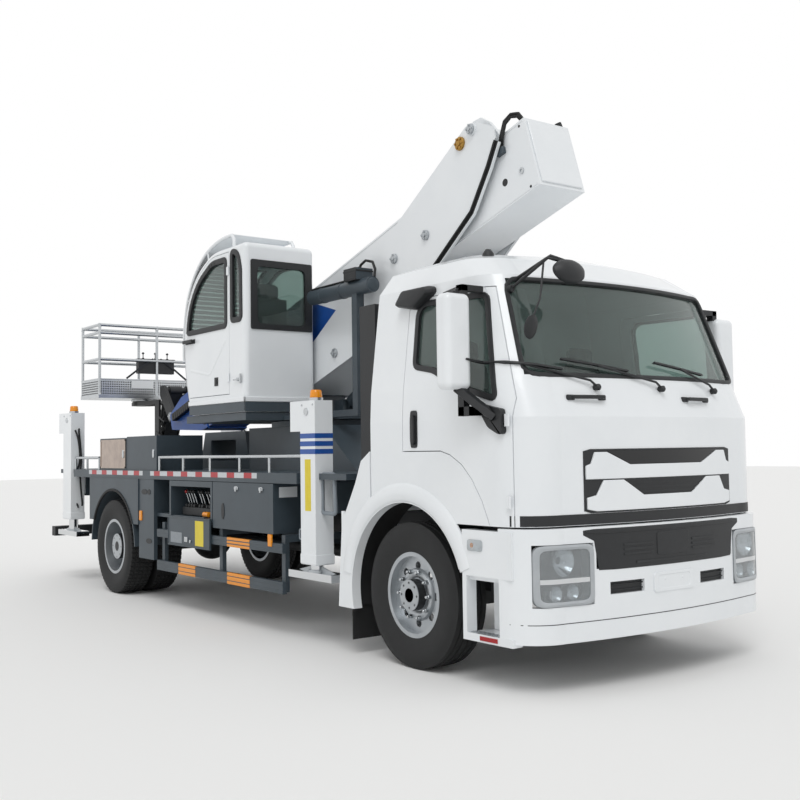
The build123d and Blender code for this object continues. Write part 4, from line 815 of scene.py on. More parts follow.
PANEL_Y = 1.2205
dark_spots, latches, polished = [], [], []
for side_name, side in SIDES:
    dark_spots.append(oval((0.350, 1.018), (0.030, 0.075), (PANEL_Y - 0.002, PANEL_Y + 0.004), side))
    dark_spots += [oval(centre, (half, 0.028), (PANEL_Y, PANEL_Y + 0.003), side) for centre, half in
                   (((-1.470, 1.155), 0.075), ((-1.350, 1.155), 0.040), ((-1.350, 0.640), 0.075))]
    for x in (0.62, 1.08):
        latches.append(oval((x, 1.235), (0.035, 0.018), (1.218, 1.230), side, 0.6))
        latches.append(slab((x - 0.012, x + 0.012), (1.2295, 1.237), (1.205, 1.245), side))
    polished.append(slab((-2.815, -2.060), (1.1885, 1.1945), (1.400, 1.725), side))
    polished += [slab((x, x + 0.018), (1.193, 1.1985), (1.40, 1.725), side) for x in (-2.815, -2.078)]
    polished += [slab((-2.815, -2.060), (1.193, 1.1985), (z, z + 0.018), side) for z in (1.400, 1.707)]
    latches += [oval((-2.12, 1.56), (0.022, 0.045), (1.193, 1.203), side, 0.6),
                oval((-1.30, 1.56), (0.022, 0.045), (1.186, 1.198), side, 0.6)]
piece("box_grommets", dark_spots, plastic, angle=50)
piece("box_latches", latches, stainless, bevel=0.002, angle=50)
# The polished door's warm brown tint and strong blotchy mix of two tones are painted reflections of its
# surroundings over the steel's own grey.
reflection_painted_steel = finish_of("mirror stainless with painted reflections", "#B9A99B", "#8E8078", 120, 0.8, Metallic=1.0, Roughness=0.12)
piece("polished_locker_doors", polished, reflection_painted_steel)

# The valve bank in the open bay: a cast block, a row of hand levers with
# ball knobs, the first one red, and a brass relief valve with an amber cap.
BAY_LEVERS = (-0.66, -0.60, -0.54, -0.48, -0.36, -0.30, -0.20, -0.14)
bank = [brick((-0.72, -1.130, 0.940), (0.02, -0.995, 1.020))]
bank += [brick((x - 0.016, -1.120, 1.020), (x + 0.016, -1.02, 1.050)) for x in BAY_LEVERS]
piece("valve_bank", bank, chassis_black, bevel=0.005)
rods = [pipe(refine([(x, -1.075, 1.045), (x + 0.004, -1.10, 1.120), (x + 0.004, -1.118, 1.165)], 0.05),
             0.0065) for x in BAY_LEVERS]
piece("valve_levers", rods, stainless)
knob = [(0.001, -0.020), (0.012, -0.014), (0.016, 0.0), (0.012, 0.013), (0.001, 0.018)]
knobs = [turned(knob, (x + 0.004, -1.119, 1.175), "Z", 20) for x in BAY_LEVERS]
piece("lever_knobs", knobs[1:], plastic, angle=60)
piece("emergency_knob", knobs[:1], red_lens, angle=60)
piece("relief_valve", [turned([(0.026, -0.05), (0.026, 0.05), (0.018, 0.055)],
                              (-0.10, -1.165, 0.965), "X", 24)], amber_lens, angle=50)

# The bay's lid hangs open on its lower hinge; blank operating plates are
# stuck to its inner face beside the over-centre catch.
sticker_yellow = finish_of("yellow film", "#E3CE2A", "#D9C322", 60, 0.5, Roughness=0.4)
sticker_grey = finish_of("etched plate", "#8D949A", "#7F868C", 30, 0.5, Roughness=0.4)
LID_INNER_Y = 1.2395
lid_rim = [slab((x0, x1), (LID_INNER_Y, 1.2445), (z0, z1), -1) for x0, x1, z0, z1 in
           ((-0.825, 0.115, 0.640, 0.655), (-0.825, 0.115, 0.917, 0.932),
            (-0.825, -0.810, 0.655, 0.917), (0.100, 0.115, 0.655, 0.917))]
piece("lid_rim", lid_rim, slate, "control_lid", bevel=0.002)
piece("lid_yellow_plate", [slab((-0.20, -0.02), (LID_INNER_Y, 1.2413), (0.665, 0.905), -1)],
      sticker_yellow, "control_lid")
piece("lid_grey_plate", [slab((-0.76, -0.50), (LID_INNER_Y, 1.2413), (0.670, 0.775), -1)],
      sticker_grey, "control_lid")
piece("lid_catch", [slab((-0.43, -0.36), (LID_INNER_Y, 1.2500), (0.690, 0.740), -1),
                    turned([(0.016, -1.252), (0.016, -1.240)], (-0.30, 0, 0.70), "Y", 16)],
      stainless, "control_lid", bevel=0.003)
piece("box_rating_plate", [brick((1.284, -1.16, 1.165), (1.2868, -0.98, 1.255))], white)

# -------------------------------------------------------- outriggers' finish
# White lacquered columns: three blue bands and a blank yellow plate on the
# front pair, an amber beacon on each head, and steel feet with ribs.
LEG_PLACES = (("front", 1.745, 1.975, 0.640, 1.975, 1.860, 0.520),
              ("rear", -4.025, -3.745, 0.760, 2.080, -3.885, 0.560))
LEG_Y, LEG_FACE_Y = 1.135, (1.219, 1.226)
for side_name, side in SIDES:
    for pair, x_low, x_high, z_low, z_high, foot_x, foot_z in LEG_PLACES:
        place = pair + "_" + side_name
        leg, head = "leg_" + place, ((x_low + x_high) / 2, side * LEG_Y, 0)
        if pair == "front":
            bands = [slab((x_low - 0.0015, x_high + 0.0015), (1.0485, 1.2215), (z, z + 0.040), side)
                     for z in (1.538, 1.602, 1.666)]
            piece("leg_bands_" + side_name, bands, blue, leg)
            piece("leg_plate_" + side_name, [slab((1.815, 1.905), (1.2198, 1.2214), (1.075, 1.495), side)],
                  sticker_yellow, leg)
        beacon = ((0.050, 0.024), (0.052, 0.030), (0.047, 0.082), (0.040, 0.090), (0.001, 0.092))
        piece("leg_beacon_" + place, [turned([(r, z_high + rise) for r, rise in beacon], head, "Z", 32)],
              amber_lens, leg, angle=40)
        fixings = [turned([(0.058, z_high - 0.001), (0.058, z_high + 0.025), (0.050, z_high + 0.026)], head,
                          "Z", 32),
                   oval((head[0] - 0.02, z_high - 0.09), (0.032, 0.032), LEG_FACE_Y, side)]
        fixings += [oval((x, z_high - 0.035), (0.008, 0.008), LEG_FACE_Y, side)
                    for x in (x_low + 0.03, x_high - 0.03)]
        collar = slab((x_low - 0.006, x_high + 0.006), (1.044, 1.226), (z_low + 0.005, z_low + 0.085), side)
        piece("leg_collar_" + place, [collar], white, leg, bevel=0.005)
        piece("leg_fixings_" + place, fixings, stainless, leg, angle=50)
        ribs = [prism([(foot_x + way * 0.055, foot_z + 0.058), (foot_x + way * 0.29, foot_z + 0.058),
                       (foot_x + way * 0.07, foot_z + 0.105)], "Y", *sorted((side * 1.129, side * 1.141)))
                for way in (-1, 1)]
        ribs.append(turned([(0.075, foot_z + 0.058), (0.072, foot_z + 0.078), (0.056, foot_z + 0.080)],
                           (foot_x, side * LEG_Y, 0), "Z", 32))
        piece("foot_ribs_" + place, ribs, silver, "jack_" + place, bevel=0.002)

# A tubular step guard and a small rope hook are welded to each front column;
# the rear columns carry their jack hoses in a loop that rides with them.
for side_name, side in SIDES:
    outward = (0, side, 0)
    guard = refine(rounded([(1.97, 1.375), (2.150, 1.375), (2.165, 1.060), (1.97, 1.060)], 0.03), 0.05, True)
    hook = refine(rounded([(1.752, 0.920), (1.660, 0.915), (1.660, 0.835), (1.752, 0.840)], 0.015), 0.03,
                  True)
    piece("leg_guard_" + side_name, [pipe(upright(guard, side * 1.150), 0.017, outward, closed=True),
                                     pipe(upright(hook, side * 1.180), 0.008, outward, closed=True)],
          finish_of("grey primer " + side_name, "#8A9299", "#7C848B", 120, 0.5, Roughness=0.45),
          "leg_front_" + side_name, angle=50)
    turns = np.linspace(0, 1, 60)
    x = -3.735 + 0.055 * np.sin(2 * np.pi * turns)
    z = 1.86 - 0.95 * turns + 0.05 * np.sin(4 * np.pi * turns)
    y = 1.205 + 0.020 * np.cos(3 * np.pi * turns)
    hose_a = np.column_stack([x + 0.012, side * (y - 0.05), z])
    hose_b = np.column_stack([-3.735 - 0.045 * np.sin(2 * np.pi * turns) + 0.035, side * (y - 0.09),
                              z + 0.02])
    piece("leg_hoses_" + side_name, [pipe(hose, 0.012, outward) for hose in (hose_a, hose_b)],
          rubber, "leg_rear_" + side_name, angle=50)

# -------------------------------------------------------- operator's cabin
# Glass is bonded in black rubber; the bowed screen carries a louvred guard on
# two tubes, and the door has a paddle handle, a lock plate and a T-catch.
OPC_OUT, OPC_IN, OPC_REAR_X = -1.100, -0.335, 0.565
SLIM_GLASS = ((0.315, 2.805), (0.500, 2.805), (0.495, 3.290), (0.450, 3.415), (0.385, 3.460), (0.315, 3.460))
FLAT_SEAL = ((0.010, -0.022), (0.010, 0.022), (-0.03, 0.022), (-0.03, -0.022))
BROAD_TRIM = ((0.008, -0.026), (0.012, 0.0), (0.008, 0.026), (-0.030, 0.026), (-0.030, -0.026))


def through(p0, p1, p2, count):
    """Points along the circle arc through three points of a plane."""
    p0, p1, p2 = (np.asarray(p, float) for p in (p0, p1, p2))
    a, b = 2 * (p1 - p0), 2 * (p2 - p0)
    centre = np.linalg.solve(np.stack([a, b]), [p1 @ p1 - p0 @ p0, p2 @ p2 - p0 @ p0])
    angle = np.unwrap([np.arctan2(*(p - centre)[::-1]) for p in (p0, p1, p2)])
    t = np.linspace(angle[0], angle[2], count)
    return centre + np.linalg.norm(p0 - centre) * np.column_stack([np.cos(t), np.sin(t)])


def side_line(points, y, step=0.05, corner=0.04):
    """A closed outline in X and Z with softened corners, laid in the plane of y."""
    return upright(refine(rounded(points, corner), step, True), y)


def bow_line(inset):
    """The cabin's bowed rear edge as three tangent arcs, drawn in by an inset."""
    i = inset
    return np.concatenate([
        through((-0.600 + i, 1.935 + i), (-0.735 + i, 2.350), (-0.765 + i, 2.750), 12),
        through((-0.765 + i, 2.750), (-0.620 + 0.8 * i, 3.186 - 0.6 * i), (-0.250 + 0.3 * i, 3.470 - i),
                14)[1:],
        through((-0.250 + 0.3 * i, 3.470 - i), (-0.130, 3.513 - i), (0.0, 3.530 - i), 5)[1:]])


def bow_glass(front_x):
    """The pane bounded by the bowed edge, the sill and an upright at front_x."""
    curve = bow_line(0.120)
    curve = curve[curve[:, 1] > 2.79]
    return [(-0.646, 2.770)] + [tuple(p) for p in curve] + [(front_x, 3.410), (front_x, 2.770)]


bow = bow_line(0.0)
piece("door_glass_seal", [swept(side_line(bow_glass(0.195), OPC_OUT), BROAD_TRIM, (0, -1, 0), closed=True)],
      plastic, "operator_door", angle=50)
seals = [swept(side_line(SLIM_GLASS, OPC_OUT), BROAD_TRIM, (0, -1, 0), closed=True),
         swept(side_line(bow_glass(0.450), OPC_IN), BROAD_TRIM, (0, 1, 0), closed=True)]
outer = rounded([(-1.035, 2.708), (-0.370, 2.708), (-0.370, 3.366), (-1.035, 3.366)], 0.02, 6)
inner = rounded([(-0.967, 2.762), (-0.445, 2.762), (-0.445, 3.303), (-0.967, 3.303)], 0.06, 6)
rings = [facing(ring, OPC_REAR_X + proud) for ring, proud in
         ((outer, -0.010), (outer, 0.010), (inner, 0.010), (inner, -0.030))]
seals.append((np.concatenate(rings), grid_faces(4, 24, wrap_rows=True, wrap_cols=True)))
screen_bow = bow[(bow[:, 1] > 2.03) & (bow[:, 1] < 3.46)]
seals += [swept(upright(screen_bow, y), FLAT_SEAL, (-1, 0, 0.2)) for y in (OPC_OUT + 0.045, OPC_IN - 0.045)]
seals += [swept(np.array([(x, y, z) for y in np.linspace(OPC_OUT + 0.03, OPC_IN - 0.03, 6)]), FLAT_SEAL,
                (-1, 0, 0.3))
          for x, z in (screen_bow[0], screen_bow[-1])]
piece("cabin_seals", seals, plastic, "turret", angle=50)

guard_bow = np.concatenate([through((-0.850, 2.500), (-0.832, 2.870), (-0.760, 3.130), 9),
                            through((-0.760, 3.130), (-0.565, 3.390), (-0.300, 3.565), 12)[1:],
                            through((-0.300, 3.565), (-0.030, 3.635), (0.225, 3.645), 9)[1:],
                            [(0.262, 3.600), (0.262, 3.520)]])
GUARD_Y = (-1.045, -0.390)
guard_parts = [pipe(upright(guard_bow, y), 0.017, (0, 1, 0)) for y in GUARD_Y]
fine_bow = refine(guard_bow[:-2], 0.01)
length = np.concatenate([[0], np.cumsum(np.linalg.norm(np.diff(fine_bow, axis=0), axis=1))])
for s in np.arange(0.03, length[-1] - 0.02, 0.050):
    x, z = np.interp(s, length, fine_bow[:, 0]), np.interp(s, length, fine_bow[:, 1])
    guard_parts.append(prism([(x - 0.017, z - 0.013), (x - 0.014, z - 0.016), (x + 0.017, z + 0.013),
                              (x + 0.014, z + 0.016)], "Y", -1.040, -0.395))
for (x, z), (foot_x, foot_z) in (((-0.850, 2.510), (-0.740, 2.520)), ((-0.760, 3.130), (-0.670, 3.090)),
                                 ((-0.300, 3.565), (-0.270, 3.440))):
    guard_parts += [pipe(refine([(x, y, z), (foot_x, y, foot_z)], 0.05), 0.009, (0, 1, 0)) for y in GUARD_Y]
piece("screen_guard", guard_parts, white, "turret", angle=50)

ledge, skirt = [], []
for low, high in (((-0.610, OPC_OUT - 0.016), (OPC_REAR_X + 0.016, OPC_OUT + 0.002)),
                  ((OPC_REAR_X - 0.002, OPC_OUT - 0.016), (OPC_REAR_X + 0.016, OPC_IN + 0.016)),
                  ((-0.610, OPC_IN - 0.002), (OPC_REAR_X + 0.016, OPC_IN + 0.016))):
    ledge.append(brick((*low, 2.030), (*high, 2.075)))
    skirt.append(brick((low[0] + 0.012, low[1] + 0.012 * (low[1] < -1), 1.937),
                       (high[0] - 0.012, high[1] - 0.012, 2.028)))
piece("cabin_ledge", ledge, white, "turret", bevel=0.006)
piece("cabin_skirt", skirt, slate, "turret", bevel=0.003)
handle = [slab(*ranges, -1) for ranges in
          (((-0.690, -0.480), (1.098, 1.110), (2.660, 2.704)),
           ((-0.690, -0.640), (1.108, 1.140), (2.670, 2.696)),
           ((-0.685, -0.480), (1.132, 1.146), (2.666, 2.700)),
           ((-0.050, 0.026), (1.098, 1.106), (2.203, 2.287)),
           ((-0.034, 0.010), (1.104, 1.112), (2.222, 2.268)))]
piece("cabin_handle", handle, plastic, "operator_door", bevel=0.005)
catch = [pipe(refine([(0.370, -1.118, 2.240), (0.510, -1.118, 2.240)], 0.05), 0.007, (0, 0, 1)),
         pipe(refine([(0.510, -1.118, 2.200), (0.510, -1.118, 2.290)], 0.04), 0.011, (0, 1, 0)),
         turned([(0.016, -1.120), (0.016, -1.098)], (0.440, 0, 2.240), "Y", 16)]
piece("cabin_catch", catch, stainless, "turret", angle=50)
crease_line = upright([(-0.580, 2.391), (-0.190, 2.325), (-0.140, 2.335), (0.180, 2.628)], OPC_OUT)
crease = [swept(refine(crease_line, 0.03), ((0.0045, -0.004), (0.0045, 0.004), (-0.002, 0.022),
                                            (-0.002, -0.022)), (0, -1, 0))]
piece("door_crease", crease, white, "operator_door", angle=60)

# Inside stand two joysticks on the seat's arms.
sticks = []
GRIP = ((0.001, 2.70), (0.020, 2.69), (0.026, 2.655), (0.020, 2.625), (0.001, 2.615))
for y in (-1.005, -0.435):
    sticks.append(pipe(refine([(-0.13, y, 2.515), (-0.14, y, 2.60), (-0.125, y, 2.64)], 0.03), 0.010,
                       (0, 1, 0)))
    sticks.append(turned(GRIP, (-0.125, y, 0), "Z", 20))
    sticks.append(turned([(0.045, 2.515), (0.040, 2.535), (0.014, 2.550)], (-0.135, y, 0), "Z", 20))
piece("joysticks", sticks, plastic, "turret", angle=50)

# ------------------------------------------------------------ turret fittings
# Bolts hold the slewing ring's outer race; a terminal box on the boom rest
# post feeds one heavy cable that is clipped along the tube.
ring_bolts = []
for angle_at in np.arange(36) * np.pi / 18:
    x, y = 0.415 + 0.655 * np.cos(angle_at), 0.655 * np.sin(angle_at)
    ring_bolts.append(turned([(0.014, 1.899), (0.014, 1.911), (0.011, 1.914)], (x, y, 0), "Z", 6))
piece("ring_bolts", ring_bolts, stainless, "turret")
cable_run = refine([(1.480, -0.430, 3.175), (1.490, -0.420, 3.225), (1.540, -0.400, 3.262),
                    (1.640, -0.395, 3.235), (1.700, -0.410, 3.160), (1.715, -0.430, 3.090)], 0.03)
rear_run = refine([(0.740, -0.480, 3.090), (1.000, -0.475, 3.094), (1.395, -0.470, 3.100)], 0.08)
piece("tube_cable", [pipe(cable_run, 0.012, (0, 1, 0)), pipe(rear_run, 0.010, (0, 0, 1)),
                     turned([(0.020, 3.175), (0.020, 3.20), (0.013, 3.21)], (1.480, -0.430, 0), "Z", 16)],
      rubber, "turret", angle=50)
box_trim = bricks(((1.385, -0.545, 3.150), (1.595, -0.355, 3.166)),
                  ((1.400, -0.5455, 3.085), (1.580, -0.5395, 3.140)),
                  ((1.393, -0.5435, 3.072), (1.587, -0.3565, 3.184)))
piece("box_trim", box_trim, plastic, "turret", bevel=0.003)
TUBE_AXIS = (0, -0.450, 3.020)
tube_bands = [[(0.0715, x - 0.015), (0.0745, x - 0.013), (0.0745, x + 0.013), (0.0715, x + 0.015)]
              for x in (0.92, 1.25)]
tube_ends = [[(0.001, 1.727), (0.045, 1.725), (0.066, 1.717), (0.0705, 1.705)],
             [(0.0705, 0.735), (0.066, 0.723), (0.045, 0.715), (0.001, 0.713)]]
piece("tube_bands", [turned(profile, TUBE_AXIS, "X", 40) for profile in tube_bands + tube_ends], slate,
      "turret", angle=50)

# -------------------------------------------------------------------- booms
# Bolted caps cover the boom pivots, and the telescope's rear half is painted
# blue on a slanting line; a steel collar holds the slide pads at its mouth.
BOOM_ANGLE = np.radians(16.8)


def on_boom(along, lift, y):
    """The place at a distance along the telescope, lifted square to it."""
    along, lift = np.asarray(along, float), np.asarray(lift, float)
    x = 3.455 - along * np.cos(BOOM_ANGLE) - lift * np.sin(BOOM_ANGLE)
    z = 4.090 - along * np.sin(BOOM_ANGLE) + lift * np.cos(BOOM_ANGLE)
    return np.stack([x, y + 0 * x, z], axis=-1)


def boom_slab(outline, y0, y1):
    """An outline of (along, lift) points given a thickness across the telescope."""
    outline = np.asarray(outline, float)
    count = len(outline)
    points = np.concatenate([on_boom(outline[:, 0], outline[:, 1], y) for y in (y0, y1)])
    faces = [tuple(range(count)), tuple(range(count, 2 * count))]
    faces += [(i, (i + 1) % count, count + (i + 1) % count, count + i) for i in range(count)]
    return points, faces


def boom_block(start, end, low, high, y0, y1):
    """A straight block set along the telescope."""
    return boom_slab(((start, low), (end, low), (end, high), (start, high)), y0, y1)


BLUE_START, MOUTH, BOOM_HALF_W = 2.55, 5.80, 0.2412
paint = [boom_slab(((BLUE_START, -0.576), (MOUTH, -0.576), (MOUTH, 0.001), (3.45, 0.001)),
                   *sorted((side * 0.2395, side * BOOM_HALF_W))) for side in (-1, 1)]
paint.append(boom_block(BLUE_START, MOUTH, -0.5765, -0.5745, -BOOM_HALF_W, BOOM_HALF_W))
paint.append(boom_block(3.45, MOUTH, -0.0005, 0.0015, -BOOM_HALF_W, BOOM_HALF_W))
piece("boom_blue_paint", paint, blue, "upper_boom")
collar = [boom_block(MOUTH, 5.895, *ranges) for ranges in
          ((-0.592, -0.574, -0.256, 0.256), (-0.001, 0.017, -0.256, 0.256),
           (-0.592, 0.017, -0.256, -0.2395), (-0.592, 0.017, 0.2395, 0.256))]
piece("boom_collar", collar, blue, "upper_boom", bevel=0.004)
pads = [boom_block(5.83, 5.87, lift, lift + 0.09, *ys) for lift in (-0.53, -0.14)
        for ys in ((-0.264, -0.255), (0.255, 0.264))]
piece("pad_plates", pads, slate, "upper_boom", bevel=0.003)
piece("head_cover", [boom_block(-0.014, 0.002, -0.550, -0.025, -0.215, 0.215)], white, "upper_boom",
      bevel=0.006)
welds = [pipe(on_boom(np.linspace(0.02, 5.79, 30), np.full(30, lift), side * 0.2405), 0.0035, (0, side, 0), 8)
         for side in (-1, 1) for lift in (-0.560, -0.018)]
piece("boom_welds", welds, white, "upper_boom", angle=50)


def pivot_cap(x, z, side, face, radius, bolts_on):
    """A domed keeper plate with a ring of bolts on one side of a pivot."""
    y0, y1 = side * face, side * (face + 0.022)
    shapes = [turned([(radius, y0), (radius, y1 - side * 0.006), (radius - 0.008, y1), (radius * 0.45, y1),
                      (radius * 0.40, y1 + side * 0.008), (0.001, y1 + side * 0.010)], (x, 0, z), "Y", 40)]
    bolt = turned([(0.010, y1 - side * 0.002), (0.010, y1 + side * 0.008)], (x + radius * 0.72, 0, z), "Y", 6)
    return shapes + around(bolt, (x, 0, z), bolts_on)


brass = finish_of("bronze bush", "#B08A4A", "#A07C40", 60, 0.5, Metallic=1.0, Roughness=0.35)
KEEPERS = (
    ("upper_boom", "upper_boom", silver, ((2.920, 4.120),), 0.315, 0.042, 4),
    ("turret", "turret", silver, ((0.015, 2.200),), 0.315, 0.095, 6),
    ("lower_boom", "lower_boom", silver, ((0.867, 2.486), (1.500, 2.440), (1.845, 3.239), (2.297, 3.370)),
     0.300, 0.044, 4),
    ("inner_boom", "inner_boom", silver, ((-3.085, 2.020),), 0.187, 0.052, 4),
    ("jib", "jib", silver, ((-3.655, 1.620),), 0.132, 0.045, 4),
    ("brass", "lower_boom", brass, ((2.772, 4.040),), 0.300, 0.056, 6),
)
for name, body, finish, places, face, radius, bolts_on in KEEPERS:
    keepers = []
    for side in (-1, 1):
        for x, z in places:
            keepers += pivot_cap(x, z, side, face, radius, bolts_on)
    piece("pivot_caps_" + name, keepers, finish, body, angle=40)

# Hydraulic hoses run in a flanged channel down the leading edge of each lower
# boom cheek, and loop over at the elbow onto the head of the telescope.
edge = refine([(1.180, 2.443), (1.700, 2.614), (2.275, 3.017), (2.885, 3.475), (3.090, 3.790),
               (3.186, 3.972)], 0.06)
lean = np.gradient(edge, axis=0)
lean = np.column_stack([lean[:, 1], -lean[:, 0]]) / np.linalg.norm(lean, axis=1)[:, None]


def cheek_line(offset, y):
    """The leading edge of the cheek pushed out by an offset, at a given y."""
    return upright(edge + offset * lean, y)


def strip(half_out, half_across):
    """The section of a flat strip, for swept."""
    return ((half_out, -half_across), (half_out, half_across), (-half_out, half_across),
            (-half_out, -half_across))


for side_name, side in SIDES:
    outward = (0, side, 0)
    channel = [swept(cheek_line(0.030, side * 0.286), strip(0.003, 0.032), outward),
               swept(cheek_line(0.061, side * 0.296), strip(0.013, 0.003), outward)]
    piece("hose_channel_" + side_name, channel, white, "lower_boom", angle=50)
    hoses = [pipe(cheek_line(offset, side * y), 0.0105, outward)
             for offset, y in ((0.014, 0.300), (0.036, 0.300), (0.025, 0.317))]
    piece("lower_boom_hoses_" + side_name, hoses, rubber, "lower_boom", angle=50)
    loops = []
    for i in range(4):
        shift = 0.024 * (i % 2) - 0.012
        lift = 0.022 * (i // 2)
        loop = [(3.215 + shift, side * 0.262, 3.900), (3.225 + shift, side * 0.262, 3.990),
                (3.262 + 0.5 * shift, side * 0.258, 4.085 + lift), (3.318, side * 0.246, 4.128 + lift),
                (3.378 - 0.5 * shift, side * 0.225, 4.122 + lift), (3.418 - shift, side * 0.205, 4.076)]
        loops.append(pipe(refine(loop, 0.03), 0.0115, outward))
    piece("elbow_hoses_" + side_name, loops, rubber, "upper_boom", angle=50)
    hose_block = prism([(3.175, 3.840), (3.255, 3.860), (3.245, 3.915), (3.165, 3.895)], "Y",
                       *sorted((side * 0.239, side * 0.275)))
    piece("elbow_block_" + side_name, [hose_block], slate, "upper_boom", bevel=0.004)
    eyelet = [(r, side * y) for r, y in
              ((0.026, 0.240), (0.026, 0.247), (0.014, 0.247), (0.014, 0.2415), (0.001, 0.2415))]
    piece("boom_eyelet_" + side_name, [turned(eyelet, (3.425, 0, 3.683), "Y", 24)], stainless, "upper_boom",
          angle=40)
    ports = [turned([(radius, side * 0.2402), (radius, side * 0.2418), (0.001, side * 0.2418)], (x, 0, z),
                    "Y", 24)
             for x, z, radius in ((3.234, 3.631, 0.030), (3.404, 4.034, 0.011), (3.522, 3.541, 0.011))]
    piece("boom_ports_" + side_name, ports, plastic, "upper_boom", angle=40)

# At the telescope's tip the services run in a black linked carrier, and a
# tangle of hoses and cables is strapped down both faces of the jib.
links = []
for along in np.arange(5.99, 6.60, 0.058):
    links.append(boom_block(along, along + 0.046, -0.235, -0.145, -0.300, -0.243))
    links.append(boom_block(along + 0.040, along + 0.062, -0.222, -0.158, -0.294, -0.249))
piece("service_carrier", links, plastic, "inner_boom", bevel=0.004)
jib_top, jib_foot = np.array((-3.395, 2.300)), np.array((-3.645, 1.700))
strands = []
for i in range(14):
    face = -1 if i % 2 else 1
    lane = (i // 2 - 3) * 0.021
    t = np.linspace(0, 1, 26)
    wave = 0.016 * np.sin(2 * np.pi * (t * (1.5 + 0.35 * i) + 0.17 * i))
    bulge = 0.098 + 0.014 * np.abs(np.sin(np.pi * t * 2 + i)) + 0.008 * (i % 3)
    centre = jib_top[None, :] + (jib_foot - jib_top)[None, :] * t[:, None]
    path = np.column_stack([centre[:, 0] + 0.92 * (lane + wave), face * bulge,
                            centre[:, 1] - 0.38 * (lane + wave)])
    strands.append(pipe(path, 0.0095, (0, 1, 0), 8))
piece("jib_hoses", strands, rubber, "jib", angle=50)
straps = []
for x, z in [jib_top + (jib_foot - jib_top) * t for t in (0.18, 0.5, 0.82)]:
    strap = [(x - 0.09, z + 0.025), (x + 0.085, z - 0.045), (x + 0.093, z - 0.025), (x - 0.082, z + 0.045)]
    straps += [prism(strap, "Y", *sorted((face * 0.086, face * 0.136))) for face in (-1, 1)]
piece("jib_straps", straps, plastic, "jib", bevel=0.003)

# ------------------------------------------------------------------- basket
# Stainless tube work with punched kick plates, a chequered dark floor, a
# console with three levers, two lanyard straps and one blank plate.
# The punched holes are not cut: flat near-black discs on both faces of each kick plate are painted shade seen
# through the holes.
holes = []
eighths = np.linspace(0, 2 * np.pi, 8, endpoint=False)
disc = 0.0095 * np.column_stack([np.cos(eighths), np.sin(eighths)])
hole_rows = np.arange(2.345, 2.520, 0.030)
for x_face in (-4.5738, -4.5692, -3.9508, -3.9462):
    holes += [(facing(disc + (y, z), x_face), [tuple(range(8))]) for y in np.arange(-0.760, 0.765, 0.030)
              for z in hole_rows]
for y_face in (-0.7958, -0.7912, 0.7912, 0.7958):
    holes += [(upright(disc + (x, z), y_face), [tuple(range(8))]) for x in np.arange(-4.555, -3.960, 0.030)
              for z in hole_rows]
piece("kick_plate_holes", holes, finish_of("painted hole shade", "#1E2022", Roughness=0.9), "basket",
      recalc=False)
top_strip = [brick((x0, y0, 2.522), (x1, y1, 2.538)) for x0, x1, y0, y1 in
             ((-4.577, -4.563, -0.79, 0.79), (-3.956, -3.942, -0.79, 0.79),
              (-4.575, -3.945, -0.799, -0.786), (-4.575, -3.945, 0.786, 0.799))]
piece("kick_plate_edges", top_strip, stainless, "basket", bevel=0.003)
studs = chequer((-4.545, -3.965), (-0.755, 0.760), 0.048, 0.010, 0.008, 0.003, (2.3245, 2.3275))
worn_plate = finish_of("worn chequer plate", "#4A4E51", "#3B3F42", 80, 0.6, Metallic=0.7, Roughness=0.45)
piece("basket_floor_studs", studs, worn_plate, "basket")
feet = []
for x in (-4.565, -3.955):
    for y in (-0.780, 0.0, 0.780):
        feet.append(turned([(0.024, 2.325), (0.024, 2.333), (0.0225, 2.336), (0.022, 2.352)], (x, y, 0), "Z",
                           20))
        feet.append(turned([(0.0215, 3.196), (0.0215, 3.212)], (x, y, 0), "Z", 16))
piece("post_flanges", feet, stainless, "basket", angle=40)
console = bricks(((-4.050, -0.250, 2.620), (-3.965, 0.250, 2.800)),
                 ((-4.060, -0.262, 2.795), (-3.960, 0.262, 2.815)))
LEVER = ((0.020, 2.814), (0.014, 2.828), (0.006, 2.830), (0.006, 2.875))
BALL = ((0.001, 2.905), (0.015, 2.898), (0.018, 2.885), (0.001, 2.872))
console += [turned(profile, (-4.010, y, 0), "Z", 16) for y in (-0.17, 0.0, 0.17) for profile in (LEVER, BALL)]
piece("basket_console", console, plastic, "basket", bevel=0.006, angle=50)
lanyards = []
for side in (-1, 1):
    path = refine([(-3.957, side * 0.05, 2.815), (-3.957, side * 0.22, 2.70), (-3.957, side * 0.42, 2.545)],
                  0.04)
    lanyards.append(swept(path, ((0.004, -0.012), (0.004, 0.012), (-0.002, 0.012), (-0.002, -0.012)),
                          (1, 0, 0)))
piece("lanyard_straps", lanyards, fabric, "basket")
piece("basket_plate", [brick((-3.9395, -0.36, 2.420), (-3.9375, -0.06, 2.520))], white, "basket")

# --------------------------------------------------------------- tail lamps
# Three round lenses in black rims at each rear corner: an amber indicator
# outside, then a red tail and stop lamp, and a clear reversing lamp.
LENS = ((0.042, -4.5780), (0.041, -4.5845), (0.030, -4.5885), (0.001, -4.5900))
LENS_RIM = ((0.047, -4.5780), (0.047, -4.5865), (0.042, -4.5865))
TAIL_LAMPS = (("red", 1.000, red_lens), ("amber", 1.105, amber_lens), ("clear", 0.895, clear_lens))
for side_name, side in SIDES:
    rims = [turned(LENS_RIM, (0, side * y, 0.580), "X", 32) for y in (1.105, 1.000, 0.895)]
    piece("tail_rims_" + side_name, rims, plastic, angle=50)
    for kind, y, finish in TAIL_LAMPS:
        piece("tail_" + kind + "_" + side_name, [turned(LENS, (0, side * y, 0.580), "X", 32)], finish,
              angle=50)

# -------------------------------------------------------------------- seats
# Foam seats under woven covers: each cushion is crowned, pulled in between
# its corners and piped round its edge, and sits on a plain moulded base.
CROWN, SQUARENESS = 0.030, 4.5
AROUND = np.linspace(0, 2 * np.pi, 72, endpoint=False)


